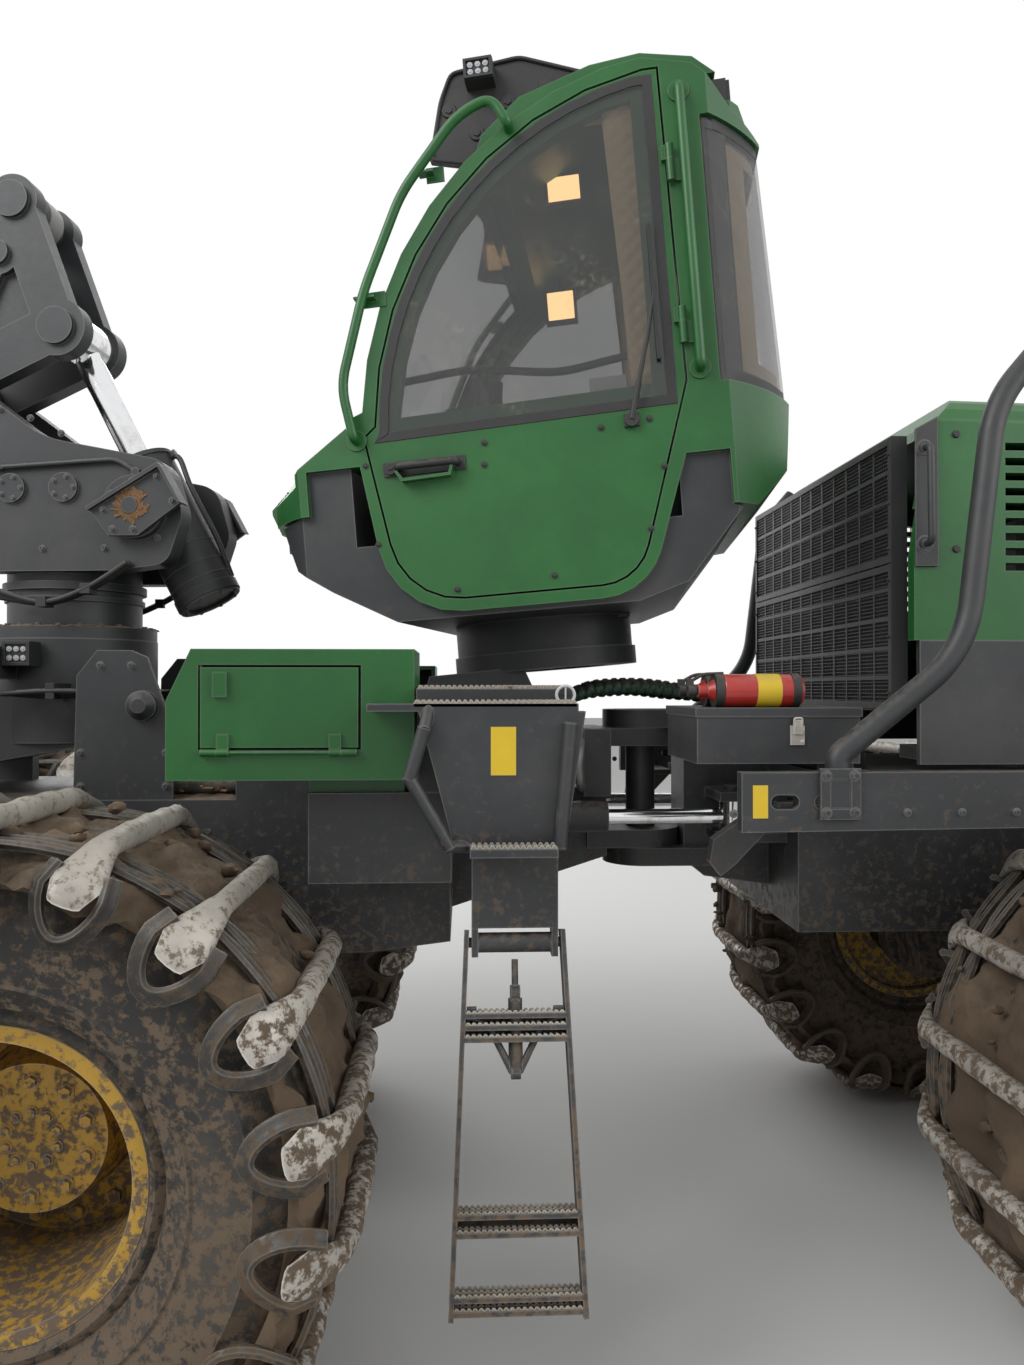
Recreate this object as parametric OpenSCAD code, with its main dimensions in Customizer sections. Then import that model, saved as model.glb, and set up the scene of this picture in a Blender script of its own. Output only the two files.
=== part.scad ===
// Forestry harvester on eight wheels with band tracks.
// X points to the front, Y to the left side, Z up; the wheels' tracks stand on Z = 0.

/* [Running gear] */
// Outer radius of a track round its wheel
track_r = 785; // [760:1:800]
// Outer radius of a tyre
tyre_r = 700; // [690:1:702]
// Width of a tyre
tyre_w = 640; // [560:5:680]
// Distance of the tyres' middle planes from the machine's middle
gauge_y = 1095; // [1085:1:1110]
// Half of the distance between the two wheels of a bogie
bogie_half = 750; // [745:1:760]
// Place of the front bogie along the machine
front_bogie_x = 2342; // [2335:1:2360]
// Place of the rear bogie along the machine
rear_bogie_x = -2100; // [-2120:1:-2090]
// Width of a track shoe across the machine
shoe_w = 780; // [740:5:800]
// Number of shoes on each straight run of a track
run_shoes = 6; // [5:1:7]
// Number of shoes round each end of a track
turn_shoes = 6; // [5:1:8]

/* [Cab] */
// Place of the cab's slewing centre along the machine
cab_x = 330; // [320:1:340]
// Height of the cab's slewing centre
cab_z = 1937; // [1930:1:1950]
// Turn of the cab in the photo
cab_yaw = -10; // [-12:1:-8]
// Levelling tilt of the cab, nose down
cab_pitch = 4.5; // [4:0.5:5]
// Thickness of the cab's pillars and posts across the machine
cab_wall = 60; // [40:2:70]

/* [Crane] */
// Place of the crane's slewing axis along the machine
crane_x = 1920; // [1915:1:1930]
// Turn of the crane in the photo
crane_yaw = -6.5; // [-8:0.5:-5]
// Radius of the slewing pillar
pillar_r = 210; // [200:1:220]
// Length of the main boom between its pins
boom_len = 3500; // [3400:10:3600]
// Rise of the main boom at rest
boom_rise = 20; // [18:1:22]
// Length of the stick from the knuckle to its front end
stick_len = 1900; // [1850:10:1950]
// Direction of the stick at rest, from level forward
stick_dir = -100; // [-102:1:-98]

/* [Hidden] */

mid_x = 1071;
steer_y = 240;
fit = 0.3;
shoe_h = 66;
band_y = 200;
foot_x = 2340;
foot_z = 2790;
knee_x = foot_x + boom_len * cos(boom_rise);
knee_z = foot_z + boom_len * sin(boom_rise);
tip_x = knee_x + stick_len * cos(stick_dir);
tip_z = knee_z + stick_len * sin(stick_dir);
axle_z = track_r;

// Colours of the painted groups
green = "ForestGreen";
dark = "DimGray";
black = "#202020";
steel = "Silver";
yellow = "Goldenrod";

// Box from its low corner to its high corner
module box(a, b) {
  translate(a) cube([b[0] - a[0], b[1] - a[1], b[2] - a[2]]);
}

// Round bar between two points
module bar(p, q, r) {
  d = q - p;
  len = norm(d);
  translate(p)
    rotate([0, acos(d[2] / len), atan2(d[1], d[0])])
      cylinder(h = len, r = r, $fn = 24);
}

// Bent tube through points of a side view at distance y from the middle
module tube_run(pts, y, r) {
  for (i = [1 : len(pts) - 1])
    bar([pts[i - 1][0], y, pts[i - 1][1]], [pts[i][0], y, pts[i][1]], r);
  for (i = [1 : len(pts) - 2])
    cross_pin(pts[i][0], pts[i][1], y - r - 0.5, y + r + 0.5, r + 0.5);
}

// Cylinder across the machine from y0 to y1
module cross_pin(x, z, y0, y1, r) {
  translate([x, y1, z]) rotate([90, 0, 0]) cylinder(h = y1 - y0, r = r, $fn = 32);
}

// Side view outline, thick from y0 to y1
module side_plate(pts, y0, y1) {
  translate([0, y1, 0]) rotate([90, 0, 0]) linear_extrude(y1 - y0) polygon(pts);
}

// Outline of a strap with a round boss at each end
module strap_outline(p, q, r) {
  d = q - p;
  w = 0.8 * r * [-d[1], d[0]] / norm(d);
  translate(p) circle(r, $fn = 40);
  translate(q) circle(r, $fn = 40);
  polygon([p + w, p - w, q - w, q + w]);
}

// Strap seen from the side, thick from y0 to y1
module strap(p, q, r, y0, y1) {
  translate([0, y1, 0]) rotate([90, 0, 0]) linear_extrude(y1 - y0) strap_outline(p, q, r);
}

// Points of an arc of an ellipse with half axes r[0] and r[1], from angle a0 to a1
function arc(c, r, a0, a1, n) = [for (i = [0 : n]) let (a = a0 + (a1 - a0) * i / n)
  [c[0] + r[0] * cos(a), c[1] + r[1] * sin(a)]];

// Outline with rounded corners, from rows of: across, up, radius of the corner
function rounded(rows, n = 5) = [for (i = [0 : len(rows) - 1])
  let (m = len(rows), b = [rows[i][0], rows[i][1]], r = rows[i][2],
    p = rows[(i + m - 1) % m], q = rows[(i + 1) % m],
    u = ([p[0], p[1]] - b) / norm([p[0], p[1]] - b),
    v = ([q[0], q[1]] - b) / norm([q[0], q[1]] - b),
    half = acos(u * v) / 2, c = b + (u + v) / norm(u + v) * r / sin(half),
    s = b + u * r / tan(half) - c, e = b + v * r / tan(half) - c,
    a0 = atan2(s[1], s[0]), turn = (atan2(e[1], e[0]) - a0 + 540) % 360 - 180)
  each r == 0 ? [b] : [for (k = [0 : n]) let (a = a0 + turn * k / n) c + r * [cos(a), sin(a)]]];

// Both sides of the machine
module both_sides() {
  for (s = [0, 1]) mirror([0, s, 0]) children();
}

// The machine's own frame: the middle of its length is over X = 0
module machine() {
  translate([-mid_x, 0, 0]) children();
}

// The cab's frame: X to its nose, its slewing centre at the origin
module cab_place() {
  machine() translate([cab_x, 0, cab_z]) rotate([0, cab_pitch, 0]) rotate([0, 0, cab_yaw])
    children();
}

// The crane's frame: the machine's own, turned about the pillar
module crane_place() {
  machine() translate([crane_x, 0, 0]) rotate([0, 0, crane_yaw]) translate([-crane_x, 0, 0])
    children();
}

// Running gear
module tyre() {
  rotate([90, 0, 0]) rotate_extrude($fn = 16)
    polygon([[331, -230], [540, -tyre_w / 2], [tyre_r, -tyre_w / 2 + 60],
      [tyre_r, tyre_w / 2 - 60], [540, tyre_w / 2], [331, 230]]);
}

module rim() {
  rotate([90, 0, 0]) rotate_extrude($fn = 48)
    polygon([[0, -60], [140, -60], [170, -180], [290, -200], [300, -228], [331 - fit, -228],
      [331 - fit, 228], [300, 228], [290, -160], [200, -140], [170, 0], [0, 0]]);
}

module wheels_at(bx) {
  for (s = [-1, 1]) for (e = [-1, 1])
    machine() translate([bx + e * bogie_half, s * gauge_y, axle_z])
      mirror([0, s < 0 ? 0 : 1, 0]) children();
}

module bogie(bx) {
  machine() {
    both_sides() {
      side_plate([[bx - bogie_half - 130, axle_z - 110], [bx + bogie_half + 130, axle_z - 110],
        [bx + bogie_half + 150, axle_z + 60], [bx + bogie_half, axle_z + 150],
        [bx + 260, axle_z + 190], [bx - 260, axle_z + 190],
        [bx - bogie_half, axle_z + 150], [bx - bogie_half - 150, axle_z + 60]], 480, 680);
      for (e = [-1, 1]) cross_pin(bx + e * bogie_half, axle_z, 670, gauge_y - 60 - fit, 118);
      for (e = [-1, 1]) cross_pin(bx + e * bogie_half, axle_z, 670, 760, 190);
      cross_pin(bx, axle_z + 60, 380, 490, 170);
    }
    cross_pin(bx, axle_z + 60, -390, 390, 150);
    cross_pin(bx, axle_z + 60, -140, 140, 165);
  }
}

// Saddle of a frame over an axle
module saddle(bx) both_sides() difference() {
  box([bx - 200, 180, axle_z + 60], [bx + 200, 300, 1060]);
  cross_pin(bx, axle_z + 60, 170, 310, 150 + fit);
}

// Front view of a track shoe: a bar whose drawn-out ends bend over the tyre's shoulders
module shoe_outline() polygon([[-shoe_w / 2, -125], [105 - shoe_w / 2, -shoe_h - 2],
  [shoe_w / 2 - 105, -shoe_h - 2], [shoe_w / 2, -125], [shoe_w / 2 - 75, 0], [75 - shoe_w / 2, 0]]);

// A fixed loop: a band of link plates with a flat under each shoe, and the shoes seated on the flats
module track(bx, side) {
  pitch = 180 / (turn_shoes + 1);
  machine() translate([bx, side * gauge_y, axle_z]) {
    for (half = [0, 180]) rotate([0, half, 0]) {
      for (i = [0 : run_shoes - 1])
        translate([-bogie_half + i * 2 * bogie_half / (run_shoes - 1), 0, 0]) shoe();
      for (i = [1 : turn_shoes])
        translate([bogie_half, 0, 0]) rotate([0, i * pitch, 0]) shoe();
    }
    rotate([90, 0, 0]) linear_extrude(2 * band_y, center = true) difference() {
      polygon(loop_points(track_r - shoe_h, pitch));
      polygon(loop_points(tyre_r + fit, pitch));
    }
  }
}
module shoe() translate([-38, 0, track_r]) rotate([90, 0, 90]) linear_extrude(76) shoe_outline();
function loop_points(r, pitch) = [for (half = [0, 180]) for (i = [0 : turn_shoes])
  let (a = half + 90 - (i + 0.5) * pitch, d = r / cos(pitch / 2))
    [(half == 0 ? 1 : -1) * bogie_half + d * cos(a), d * sin(a)]];

module front_bogies() color(dark) bogie(front_bogie_x);
module rear_bogies() color(dark) bogie(rear_bogie_x);
module front_rims() color(yellow) wheels_at(front_bogie_x) rim();
module rear_rims() color(yellow) wheels_at(rear_bogie_x) rim();
module front_tyres() color(black) wheels_at(front_bogie_x) tyre();
module rear_tyres() color(black) wheels_at(rear_bogie_x) tyre();
module front_tracks() color(steel) for (s = [-1, 1]) track(front_bogie_x, s);
module rear_tracks() color(steel) for (s = [-1, 1]) track(rear_bogie_x, s);

// Front frame
module front_frame() color(dark) machine() {
  difference() {
    union() {
      side_plate([[650, 1050], [900, 1020], [2750, 1020], [2950, 1150], [2950, 1400],
        [2700, 1480], [650, 1480]], -420, 420);
      side_plate([[130, 1250], [660, 1080], [660, 1480], [130, 1480]], -95, 95);
  box([480, -300, 1300], [645, 300, 1338]);
      box([640, -900, 1320], [1000, 900, 1548]);
      box([700, -420, 1470], [1290, 420, 1660]);
      box([640, -430, 1479], [720, 430, 1700]);
    }
    box([720, -380, 1080], [1450, 380, 1440]);
  }
  for (z = [1310, 1650]) difference() {
    union() {
      translate([0, 0, z - 30]) cylinder(h = 60, r = 130, $fn = 40);
      box([0, -130, z - 30], [200, 130, z + 30]);
    }
    translate([0, 0, z - 40]) cylinder(h = 80, r = 50.05, $fn = 32);
  }
  box([130, -200, 1460], [220, 200, 1680]);
  saddle(front_bogie_x);
  both_sides() {
    box([510, 90, 1460], [645, 300, 1490]);
    translate([560, steer_y, 1320]) cylinder(h = 165, r = 25, $fn = 32);
    difference() {
      union() {
        box([2170, 250, 1479], [2330, 300, 1650]);
        cross_pin(2250, 1650, 250, 300, 80);
      }
      cross_pin(2250, 1650, 240, 310, 50.05);
    }
    box([2600, 392, 1470], [2700, 440, 1498]);
    box([2600, 418, 1490], [2700, 440, 1600]);
    cross_pin(2650, 1560, 325, 430, 30);
  }
}

// Lockers beside the front frame, each a hollow box with its own door
module locker_box() difference() {
  side_plate([[730, 1587], [1330, 1587], [1330, 1780], [1270, 1907], [730, 1907]], 700, 980);
  box([745, 690, 1602], [1250, 965, 1892]);
  box([860, 900, 1661], [1252, 990, 1868]);
}
module lockers() color(green) machine() both_sides() {
  locker_box();
  box([760, 715, 1548 + fit], [1000, 880, 1590]);
  for (x = [868, 1206]) difference() {
    union() {
      translate([x, 990, 1655]) rotate([0, 90, 0]) cylinder(h = 38, r = 9, $fn = 24);
      box([x, 975, 1647], [x + 38, 990, 1657]);
    }
    translate([x - 2, 990, 1655]) rotate([0, 90, 0]) cylinder(h = 42, r = 5.05, $fn = 24);
  }
}
module locker_door() {
  side_plate([[866, 1667], [1246, 1667], [1246, 1862], [866, 1862]], 966, 984);
  for (x = [906 + fit, 1176]) {
    translate([x, 990, 1655]) rotate([0, 90, 0]) cylinder(h = 30 - fit, r = 9, $fn = 24);
    box([x, 983, 1655], [x + 30 - fit, 993, 1700]);
  }
  translate([880, 990, 1655]) rotate([0, 90, 0]) cylinder(h = 340, r = 5, $fn = 24);
  box([1180, 983, 1790], [1215, 996, 1850]);
}
module locker_door_left() color(green) machine() locker_door();
module locker_door_right() color(green) machine() mirror([0, 1, 0]) locker_door();

// Platform, step box and upper ladder plate on the left
module platform() color(dark) machine() {
  box([340, 830, 1757], [729, 1100, 1775]);
  box([700, 985, 1757], [835, 1100, 1775]);
  box([345, 830, 1775], [725, 1000, 1810]);
  box([645, 830, 1548 + fit], [725, 900, 1757]);
  ladder_sheet();
  box([393, 1000, 1425], [595, 1160, 1445]);
  difference() {
    union() {
      box([380, 960, 1230], [590, 1010, 1440]);
      for (x = [380, 574]) box([x, 961, 1160], [x + 16, 1009, 1235]);
    }
    translate([370, 985, 1190]) rotate([0, 90, 0]) cylinder(h = 230, r = 12.05, $fn = 32);
  }
  bar([700, 1118, 1720], [735, 1118, 1600], 16);
  bar([737, 1118, 1608], [640, 1118, 1440], 15);
  bar([700, 1118, 1715], [690, 1085, 1768], 15);
  bar([360, 1112, 1730], [385, 1112, 1440], 16);
  bar([645, 1118, 1445], [600, 1090, 1440], 14);
}
module ladder_sheet() {
  translate([0, 1100, 0]) rotate([90, 0, 0]) linear_extrude(60)
    polygon([[372, 1432], [629, 1432], [715, 1757], [323, 1757]]);
}
// Swing ladder: flat side rails that spread downwards, one deep step and two low ones
ladder_x = 485;
module ladder_frame() machine() translate([ladder_x, 985, 1190]) rotate([12.5, 0, 0]) children();
module ladder() color(dark) {
  ladder_frame() {
    for (s = [-1, 1]) translate([s * 118, 0, 0]) rotate([0, -s * 2.4, 0])
      translate([-6, -28, -820]) cube([12, 56, 850]);
    for (z = [165, 192, 219, 602, 640, 772, 800])
      translate([-118 - 0.042 * z, -28, -z - 10]) cube([236 + 0.084 * z, 56, 12]);
    for (c = [[165, 219], [602, 640], [772, 800]])
      translate([-118 - 0.042 * c[0], -28, -c[1]]) cube([236 + 0.084 * c[0], 8, c[1] - c[0]]);
  }
  machine() {
    translate([396 + fit, 985, 1190]) rotate([0, 90, 0])
      cylinder(h = 178 - 2 * fit, r = 24, $fn = 32);
    translate([ladder_x - 124, 985, 1190]) rotate([0, 90, 0]) cylinder(h = 248, r = 12, $fn = 32);
  }
}

// Slewing and levelling base under the cab
module cab_base() color(dark) {
  cab_place() difference() {
    translate([0, 0, -60]) cylinder(h = 60 - fit, r = 310, $fn = 64);
    translate([0, 0, -70]) cylinder(h = 80, r = 200, $fn = 48);
  }
  machine() {
    side_plate([[300, 1490 + fit], [640 - fit, 1490 + fit], [640 - fit, 1700 + fit],
      [760, 1700 + fit], [720, 1850], [420, 1880], [330, 1690]], -260, 260);
  }
}

// Steering cylinders on both sides of the joint
module steer_barrel() difference() {
  union() {
    bar([520, steer_y, 1400], [150, steer_y, 1400], 50);
    translate([560, steer_y, 1338 + fit]) cylinder(h = 122 - 2 * fit, r = 55, $fn = 32);
  }
  translate([560, steer_y, 1330]) cylinder(h = 140, r = 25.05, $fn = 32);
  bar([480, steer_y, 1400], [140, steer_y, 1400], 40);
}
module steer_rod() {
  bar([200, steer_y, 1400], [-240, steer_y, 1400], 25);
  bar([230, steer_y, 1400], [190, steer_y, 1400], 39.7);
  translate([-260, steer_y, 1350 + fit]) cylinder(h = 101 - 2 * fit, r = 45, $fn = 32);
}
module steer_barrel_left() color(dark) machine() steer_barrel();
module steer_barrel_right() color(dark) machine() mirror([0, 1, 0]) steer_barrel();
module steer_rod_left() color(steel) machine() steer_rod();
module steer_rod_right() color(steel) machine() mirror([0, 1, 0]) steer_rod();

// Cylinders that tilt the crane's base
tilt_run = norm([530, 330]);
tilt_a = atan2(330, -530);
module tilt_frame() machine() both_sides() translate([2650, 0, 1560])
  rotate([0, 90 - tilt_a, 0]) translate([0, 360, 0]) children();
module tilt_barrels() color(dark) tilt_frame() difference() {
  union() {
    translate([0, 0, 50]) cylinder(h = 300, r = 55, $fn = 40);
    rotate([90, 0, 0]) cylinder(h = 56, r = 60, center = true, $fn = 32);
  }
  rotate([90, 0, 0]) cylinder(h = 60, r = 30.05, center = true, $fn = 32);
  translate([0, 0, 90]) cylinder(h = 300, r = 42, $fn = 32);
}
module tilt_rods() color(steel) tilt_frame() {
  translate([0, 0, 180]) cylinder(h = tilt_run - 200, r = 26, $fn = 32);
  translate([0, 0, 180]) cylinder(h = 40, r = 41.7, $fn = 32);
  translate([0, 0, tilt_run]) rotate([90, 0, 0])
    cylinder(h = 52 - 2 * fit, r = 50, center = true, $fn = 32);
}

// Rear frame
module rear_frame() color(dark) machine() {
  for (z = [1249, 1711]) {
    translate([0, 0, z - 30]) cylinder(h = 60, r = 130, $fn = 40);
    box([-220, -130, z - 30], [0, 130, z + 30]);
  }
  translate([0, 0, 1219]) cylinder(h = 522, r = 50, $fn = 32);
  side_plate([[-420, 1150], [-200, 1180], [-130, 1240], [-130, 1740], [-420, 1740]], -100, 100);
  side_plate([[-3500, 1060], [-420, 1060], [-420, 1740], [-600, 1560], [-3500, 1560]], -400, 400);
  both_sides() {
    for (z = [1320, 1451]) box([-420, 90, z], [-205, 295, z + 30]);
    translate([-260, steer_y, 1300]) cylinder(h = 30, r = 30, $fn = 32);
    translate([-260, steer_y, 1470]) cylinder(h = 30, r = 30, $fn = 32);
  }
  saddle(rear_bogie_x);
  difference() {
    union() {
      translate([-3700, 0, 1200]) cylinder(h = 40, r = 70, $fn = 40);
      box([-3700, -70, 1200], [-3480, 70, 1240]);
    }
    translate([-3700, 0, 1190]) cylinder(h = 60, r = 26, $fn = 32);
  }
}

// Rear bumper, and the cross beam stubs and side beams that carry the toolbox and the guard tubes
module side_beams() color(dark) machine() {
  box([-3620, -900, 1300], [-3500, 900, 1600]);
  both_sides() side_beam();
}
module side_beam() {
  difference() {
    side_plate([[-820, 1460], [-80, 1452], [-80, 1602], [-820, 1602]], 940, 980);
    for (x = [-300, -190]) side_plate(rounded([[x - 35, 1510, 17], [x + 35, 1510, 17],
      [x + 35, 1545, 17], [x - 35, 1545, 17]]), 930, 990);
  }
  box([-480, 400, 1500], [-330, 945, 1590]);
  box([-450, 460, 1589], [-350, 760, 1610 - fit]);
  side_plate([[-150, 1455], [-70, 1400], [-60, 1340], [-90, 1300], [-130, 1330], [-250, 1455]], 700, 740);
  box([-250, 690, 1455], [-150, 945, 1475]);
  box([-480, 690, 1455], [-250, 745, 1500]);
}

// Engine as one block at its real place
module engine() color(dark) machine() box([-2300, -330, 1560 + fit], [-1150, 330, 2350]);

// Hood with open underside, rounded shoulders and slots on both sides
hood_w = 720;
hood_wall = 40;
hood_side = [[-640, 2180], [-700, 2560], [-780, 2637], [-2600, 2600], [-3300, 2380],
  [-3500, 2100], [-3500, 1945.3], [-640, 1945.3]];
module hood() color(green) machine() {
  hood_skin();
  knuckles(300, 1952, 1985);
}
module hood_skin() difference() {
  intersection() {
    side_plate(hood_side, -hood_w, hood_w);
    translate([-780, 0, 2637]) rotate([90, 0, -90]) rotate([1.165, 0, 0]) translate([0, 0, -400])
      linear_extrude(4000) polygon(rounded([[-hood_w - 4, -900, 0], [hood_w + 4, -900, 0],
        [hood_w + 4, 3, 110], [-hood_w - 4, 3, 110]]));
  }
  side_plate([[-600, 1940], [-600, 2160], [-740, 2520], [-800, 2597], [-2590, 2560],
    [-3280, 2345], [-3460, 2080], [-3460, 1940]], hood_wall - hood_w, hood_w - hood_wall);
  box([-760, -662, 1940], [-590, 662, 2530]);
  for (i = [0 : 8]) both_sides()
    box([-1290, hood_w - hood_wall - 5, 2140 + i * 42], [-900, hood_w + 5, 2162 + i * 42]);
}

// Knuckles of the hood's two rear hinges: one half above the seam, one half below
hood_hinge = [-3514, 1952];
module knuckles(y, z0, z1) both_sides() {
  cross_pin(hood_hinge[0], hood_hinge[1], y, y + 40, 12);
  box([hood_hinge[0], y, z0], [-3495, y + 40, z1]);
}

// Side covers below the hood
module side_covers() color(dark) machine() {
  both_sides() box([-3480, 700, 1600], [-655, 720, 1945]);
  both_sides() for (x = [-3400, -2000, -800]) box([x, 400, 1600], [x + 60, 700, 1640]);
  box([-3500, -700, 1600], [-3480, 700, 1945]);
  knuckles(340 + 2 * fit, 1915, 1944);
}

// Grille in front of the coolers
module grille() color(black) machine() difference() {
  union() {
    box([-650, -655, 1747], [-605, 655, 2530]);
    both_sides() box([-650, 250, 1560 + fit], [-605, 350, 1750]);
  }
  for (r = [0 : 8]) for (c = [0 : 11])
    box([-660, -630 + c * 106, 1765 + r * 84], [-595, -630 + c * 106 + 94, 1765 + r * 84 + 72]);
}

// Toolbox with lid
module toolbox() color(dark) machine() difference() {
  box([-453, 420, 1610], [-11, 800, 1735]);
  box([-438, 435, 1625], [-26, 785, 1745]);
}
module toolbox_lid() color(dark) machine() {
  box([-458, 415, 1735 + fit], [-6, 805, 1760]);
  for (x = [-400, -104]) {
    translate([x, 405, 1748]) rotate([0, 90, 0]) cylinder(h = 40, r = 8, $fn = 24);
    box([x, 405, 1740], [x + 40, 416, 1756]);
  }
}

// Tubes that guard the hood's corners
module guard_rails() color(dark) machine() both_sides() {
  tube_run([[-329, 1602 + fit], [-329, 1640], [-661, 1907], [-738, 2537], [-860, 2680]], 960, 30);
}

// Two extinguisher bottles lying on the toolbox, each with its neck
bottle_r = 45;
module extinguishers() color("Firebrick") machine() for (y = [640, 745])
  translate([-310, y, 1760 + fit + bottle_r]) rotate([0, 90, 0]) rotate_extrude($fn = 32)
    polygon([[0, 0], [bottle_r - 8, 0], [bottle_r, 12], [bottle_r, 215], [bottle_r - 12, 240],
      [18, 258], [18, 285], [0, 285]]);

// Hoses that rise from the rear frame and arch over the centre joint
module joint_hoses() color(black) machine() for (y = [-90, -45, 0, 45, 90])
  tube_run([[-330, 1760 + fit], [-170, 1800], [110, 1806], [262, 1775]], y, 20);

// Cab: every outline is a side view, anticlockwise as seen from the right side
swing_r = 880;
half_w = 620;
ring_w = 42;
side_wall = [half_w - cab_wall, half_w];
post_centre = [-550, 600];
hinge = [-510, half_w + 14];

// The front post's curve at distance d inside the cab's outline
function post(d, a0, a1, n = 8) = arc(post_centre, [975 - d, 1020 - d], a0, a1, n);

cab_side = concat([[367, 104], [550, 205], [640, 300], [640, 560], [448, 690]], post(0, 6, 78),
  [[-450, 1610], [-590, 1575], [-690, 1480], [-790, 1440], [-836, 690], [-800, 470], [-690, 355],
    [-474, 147], [-333, 104]]);
// Frame round the door, down to the rounded lip under it
surround = concat(rounded([[-560, 700, 0], [-362, 118, 180], [372, 118, 240], [458, 700, 0]]),
  [[300, 760], [-560, 760]]);
door_edge = concat(rounded([[-505, 700, 0], [-336, 158, 140], [333, 158, 205], [416, 640, 0]]),
  post(ring_w, 4, 84), [[-492, 1572]]);
glass_edge = concat([[-480, 640], [390, 622]], post(ring_w + 8, 3, 82), [[-478, 1560]]);
pane_edge = concat([[-415, 705], [320, 690]], post(ring_w + 62, 8, 76), [[-415, 1500]]);
// What is green in front of, above and behind the side frames
shell_part = [[900, 430], [900, 1800], [-900, 1800], [-900, 340], [-612, 350], [-612, 500],
  [-470, 500], [-470, 560], [600, 560], [600, 430]];
windscreen = [[150, 725], [900, 725], [900, 1395], [-150, 1395]];
rear_pane = [[-600, 690], [-600, 1430], [-900, 1430], [-900, 690]];
screen_y = half_w - 75;

function inward(p, q) = [p[1] - q[1], q[0] - p[0]] / norm(q - p);
function inset(pts, d) = [for (i = [0 : len(pts) - 1])
  let (n = len(pts), b = pts[i], u = inward(pts[(i + n - 1) % n], b),
    v = inward(b, pts[(i + 1) % n])) b + (u + v) * d / (1 + u * v)];

// The cab's outer form, moved in by d on every side
module cab_form(d) intersection() {
  side_plate(inset(cab_side, d), d - half_w, half_w - d);
  swing_drum(d);
}
module swing_drum(d) translate([0, 0, 90]) cylinder(h = 1700, r = swing_r - d, $fn = 144);

module cab_floor() color(dark) cab_place() {
  cylinder(h = 106, r = 300, $fn = 64);
  difference() {
    intersection() {
      side_plate([[367, 104], [550, 205], [668, 283], [735, 430 - fit], [600 - fit, 430 - fit],
        [600 - fit, 560 - fit], [470, 560 - fit], [470, 331], [-470 + fit, 331],
        [-470 + fit, 500 - fit], [-612 + fit, 500 - fit], [-612 + fit, 350 - fit], [-640, 340],
        [-474, 147], [-333, 104]], 20 - half_w, half_w - 20);
      swing_drum(12);
    }
    both_sides() side_plate(inset(surround, -fit), side_wall[0] - fit, half_w);
    lamp_recess();
  }
}
// Closed nose below the windscreen, sloped down to both sides
module nose() difference() {
  intersection() {
    side_plate([[600, 430], [800, 440], [832, 520], [815, 600], [705, 668], [440, 700],
      [440, 560], [600, 560]], -half_w, half_w);
    swing_drum(0);
  }
  both_sides() translate([450, half_w, 694]) rotate([0, 0, 31.7]) rotate([0, -42, 0])
    translate([0, -800, -600]) cube([400, 1600, 1200]);
  lamp_recess();
}
module cab_shell() color(green) cab_place() {
  difference() {
    union() {
      intersection() {
        cab_form(0);
        side_plate(shell_part, -half_w, half_w);
      }
      both_sides() side_plate(surround, side_wall[0], side_wall[1]);
      nose();
    }
    intersection() {
      cab_form(cab_wall);
      translate([0, 0, 331]) cylinder(h = 1500, r = 1200, $fn = 24);
    }
    side_plate(inset(door_edge, -6), side_wall[0] - 60, half_w + 80);
    side_plate(pane_edge, -half_w - 80, -side_wall[0] + 80);
    side_plate(glass_edge, -half_w - 80, -half_w + 10);
    side_plate(windscreen, -screen_y, screen_y);
    side_plate(rear_pane, -half_w - 80, half_w + 80);
    rear_lamp_recess();
  }
  for (z = [800, 1250]) difference() {
    union() {
      translate([hinge[0], hinge[1], z]) cylinder(h = 60, r = 12, $fn = 24);
      box([hinge[0] - 32, half_w - 5, z], [hinge[0], half_w + 12, z + 60]);
    }
    translate([hinge[0], hinge[1], z - 5]) cylinder(h = 70, r = 6.05, $fn = 24);
  }
}
// Crowned roof skin with a lamp recess in each rear corner
roof_seat = [[-740, 1460 + fit], [-690, 1480 + fit], [-590, 1575 + fit], [-450, 1610 + fit]];
module cab_roof() color(green) cab_place() difference() {
  intersection() {
    side_plate(concat(roof_seat, [for (i = [3 : -1 : 0]) post(-fit, 51, 78, 3)[i]],
      [[20, 1505], [-100, 1600], [-309, 1660], [-454, 1672], [-600, 1640], [-700, 1550]]),
      -540, 540);
    swing_drum(0);
  }
  rear_lamp_recess();
}
module rear_lamp_recess() both_sides() box([-800, 400, 1500], [-630, 560, 1585]);
module glass_skin() difference() {
  cab_form(12);
  cab_form(20);
}
module cab_glass() color("LightCyan") cab_place() {
  side_plate(inset(glass_edge, fit), -half_w + 1, -half_w + 10 - fit);
  intersection() {
    glass_skin();
    side_plate(inset(windscreen, fit), fit - screen_y, screen_y - fit);
  }
  intersection() {
    glass_skin();
    side_plate(inset(rear_pane, fit), -half_w - 80, half_w + 80);
  }
}
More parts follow.
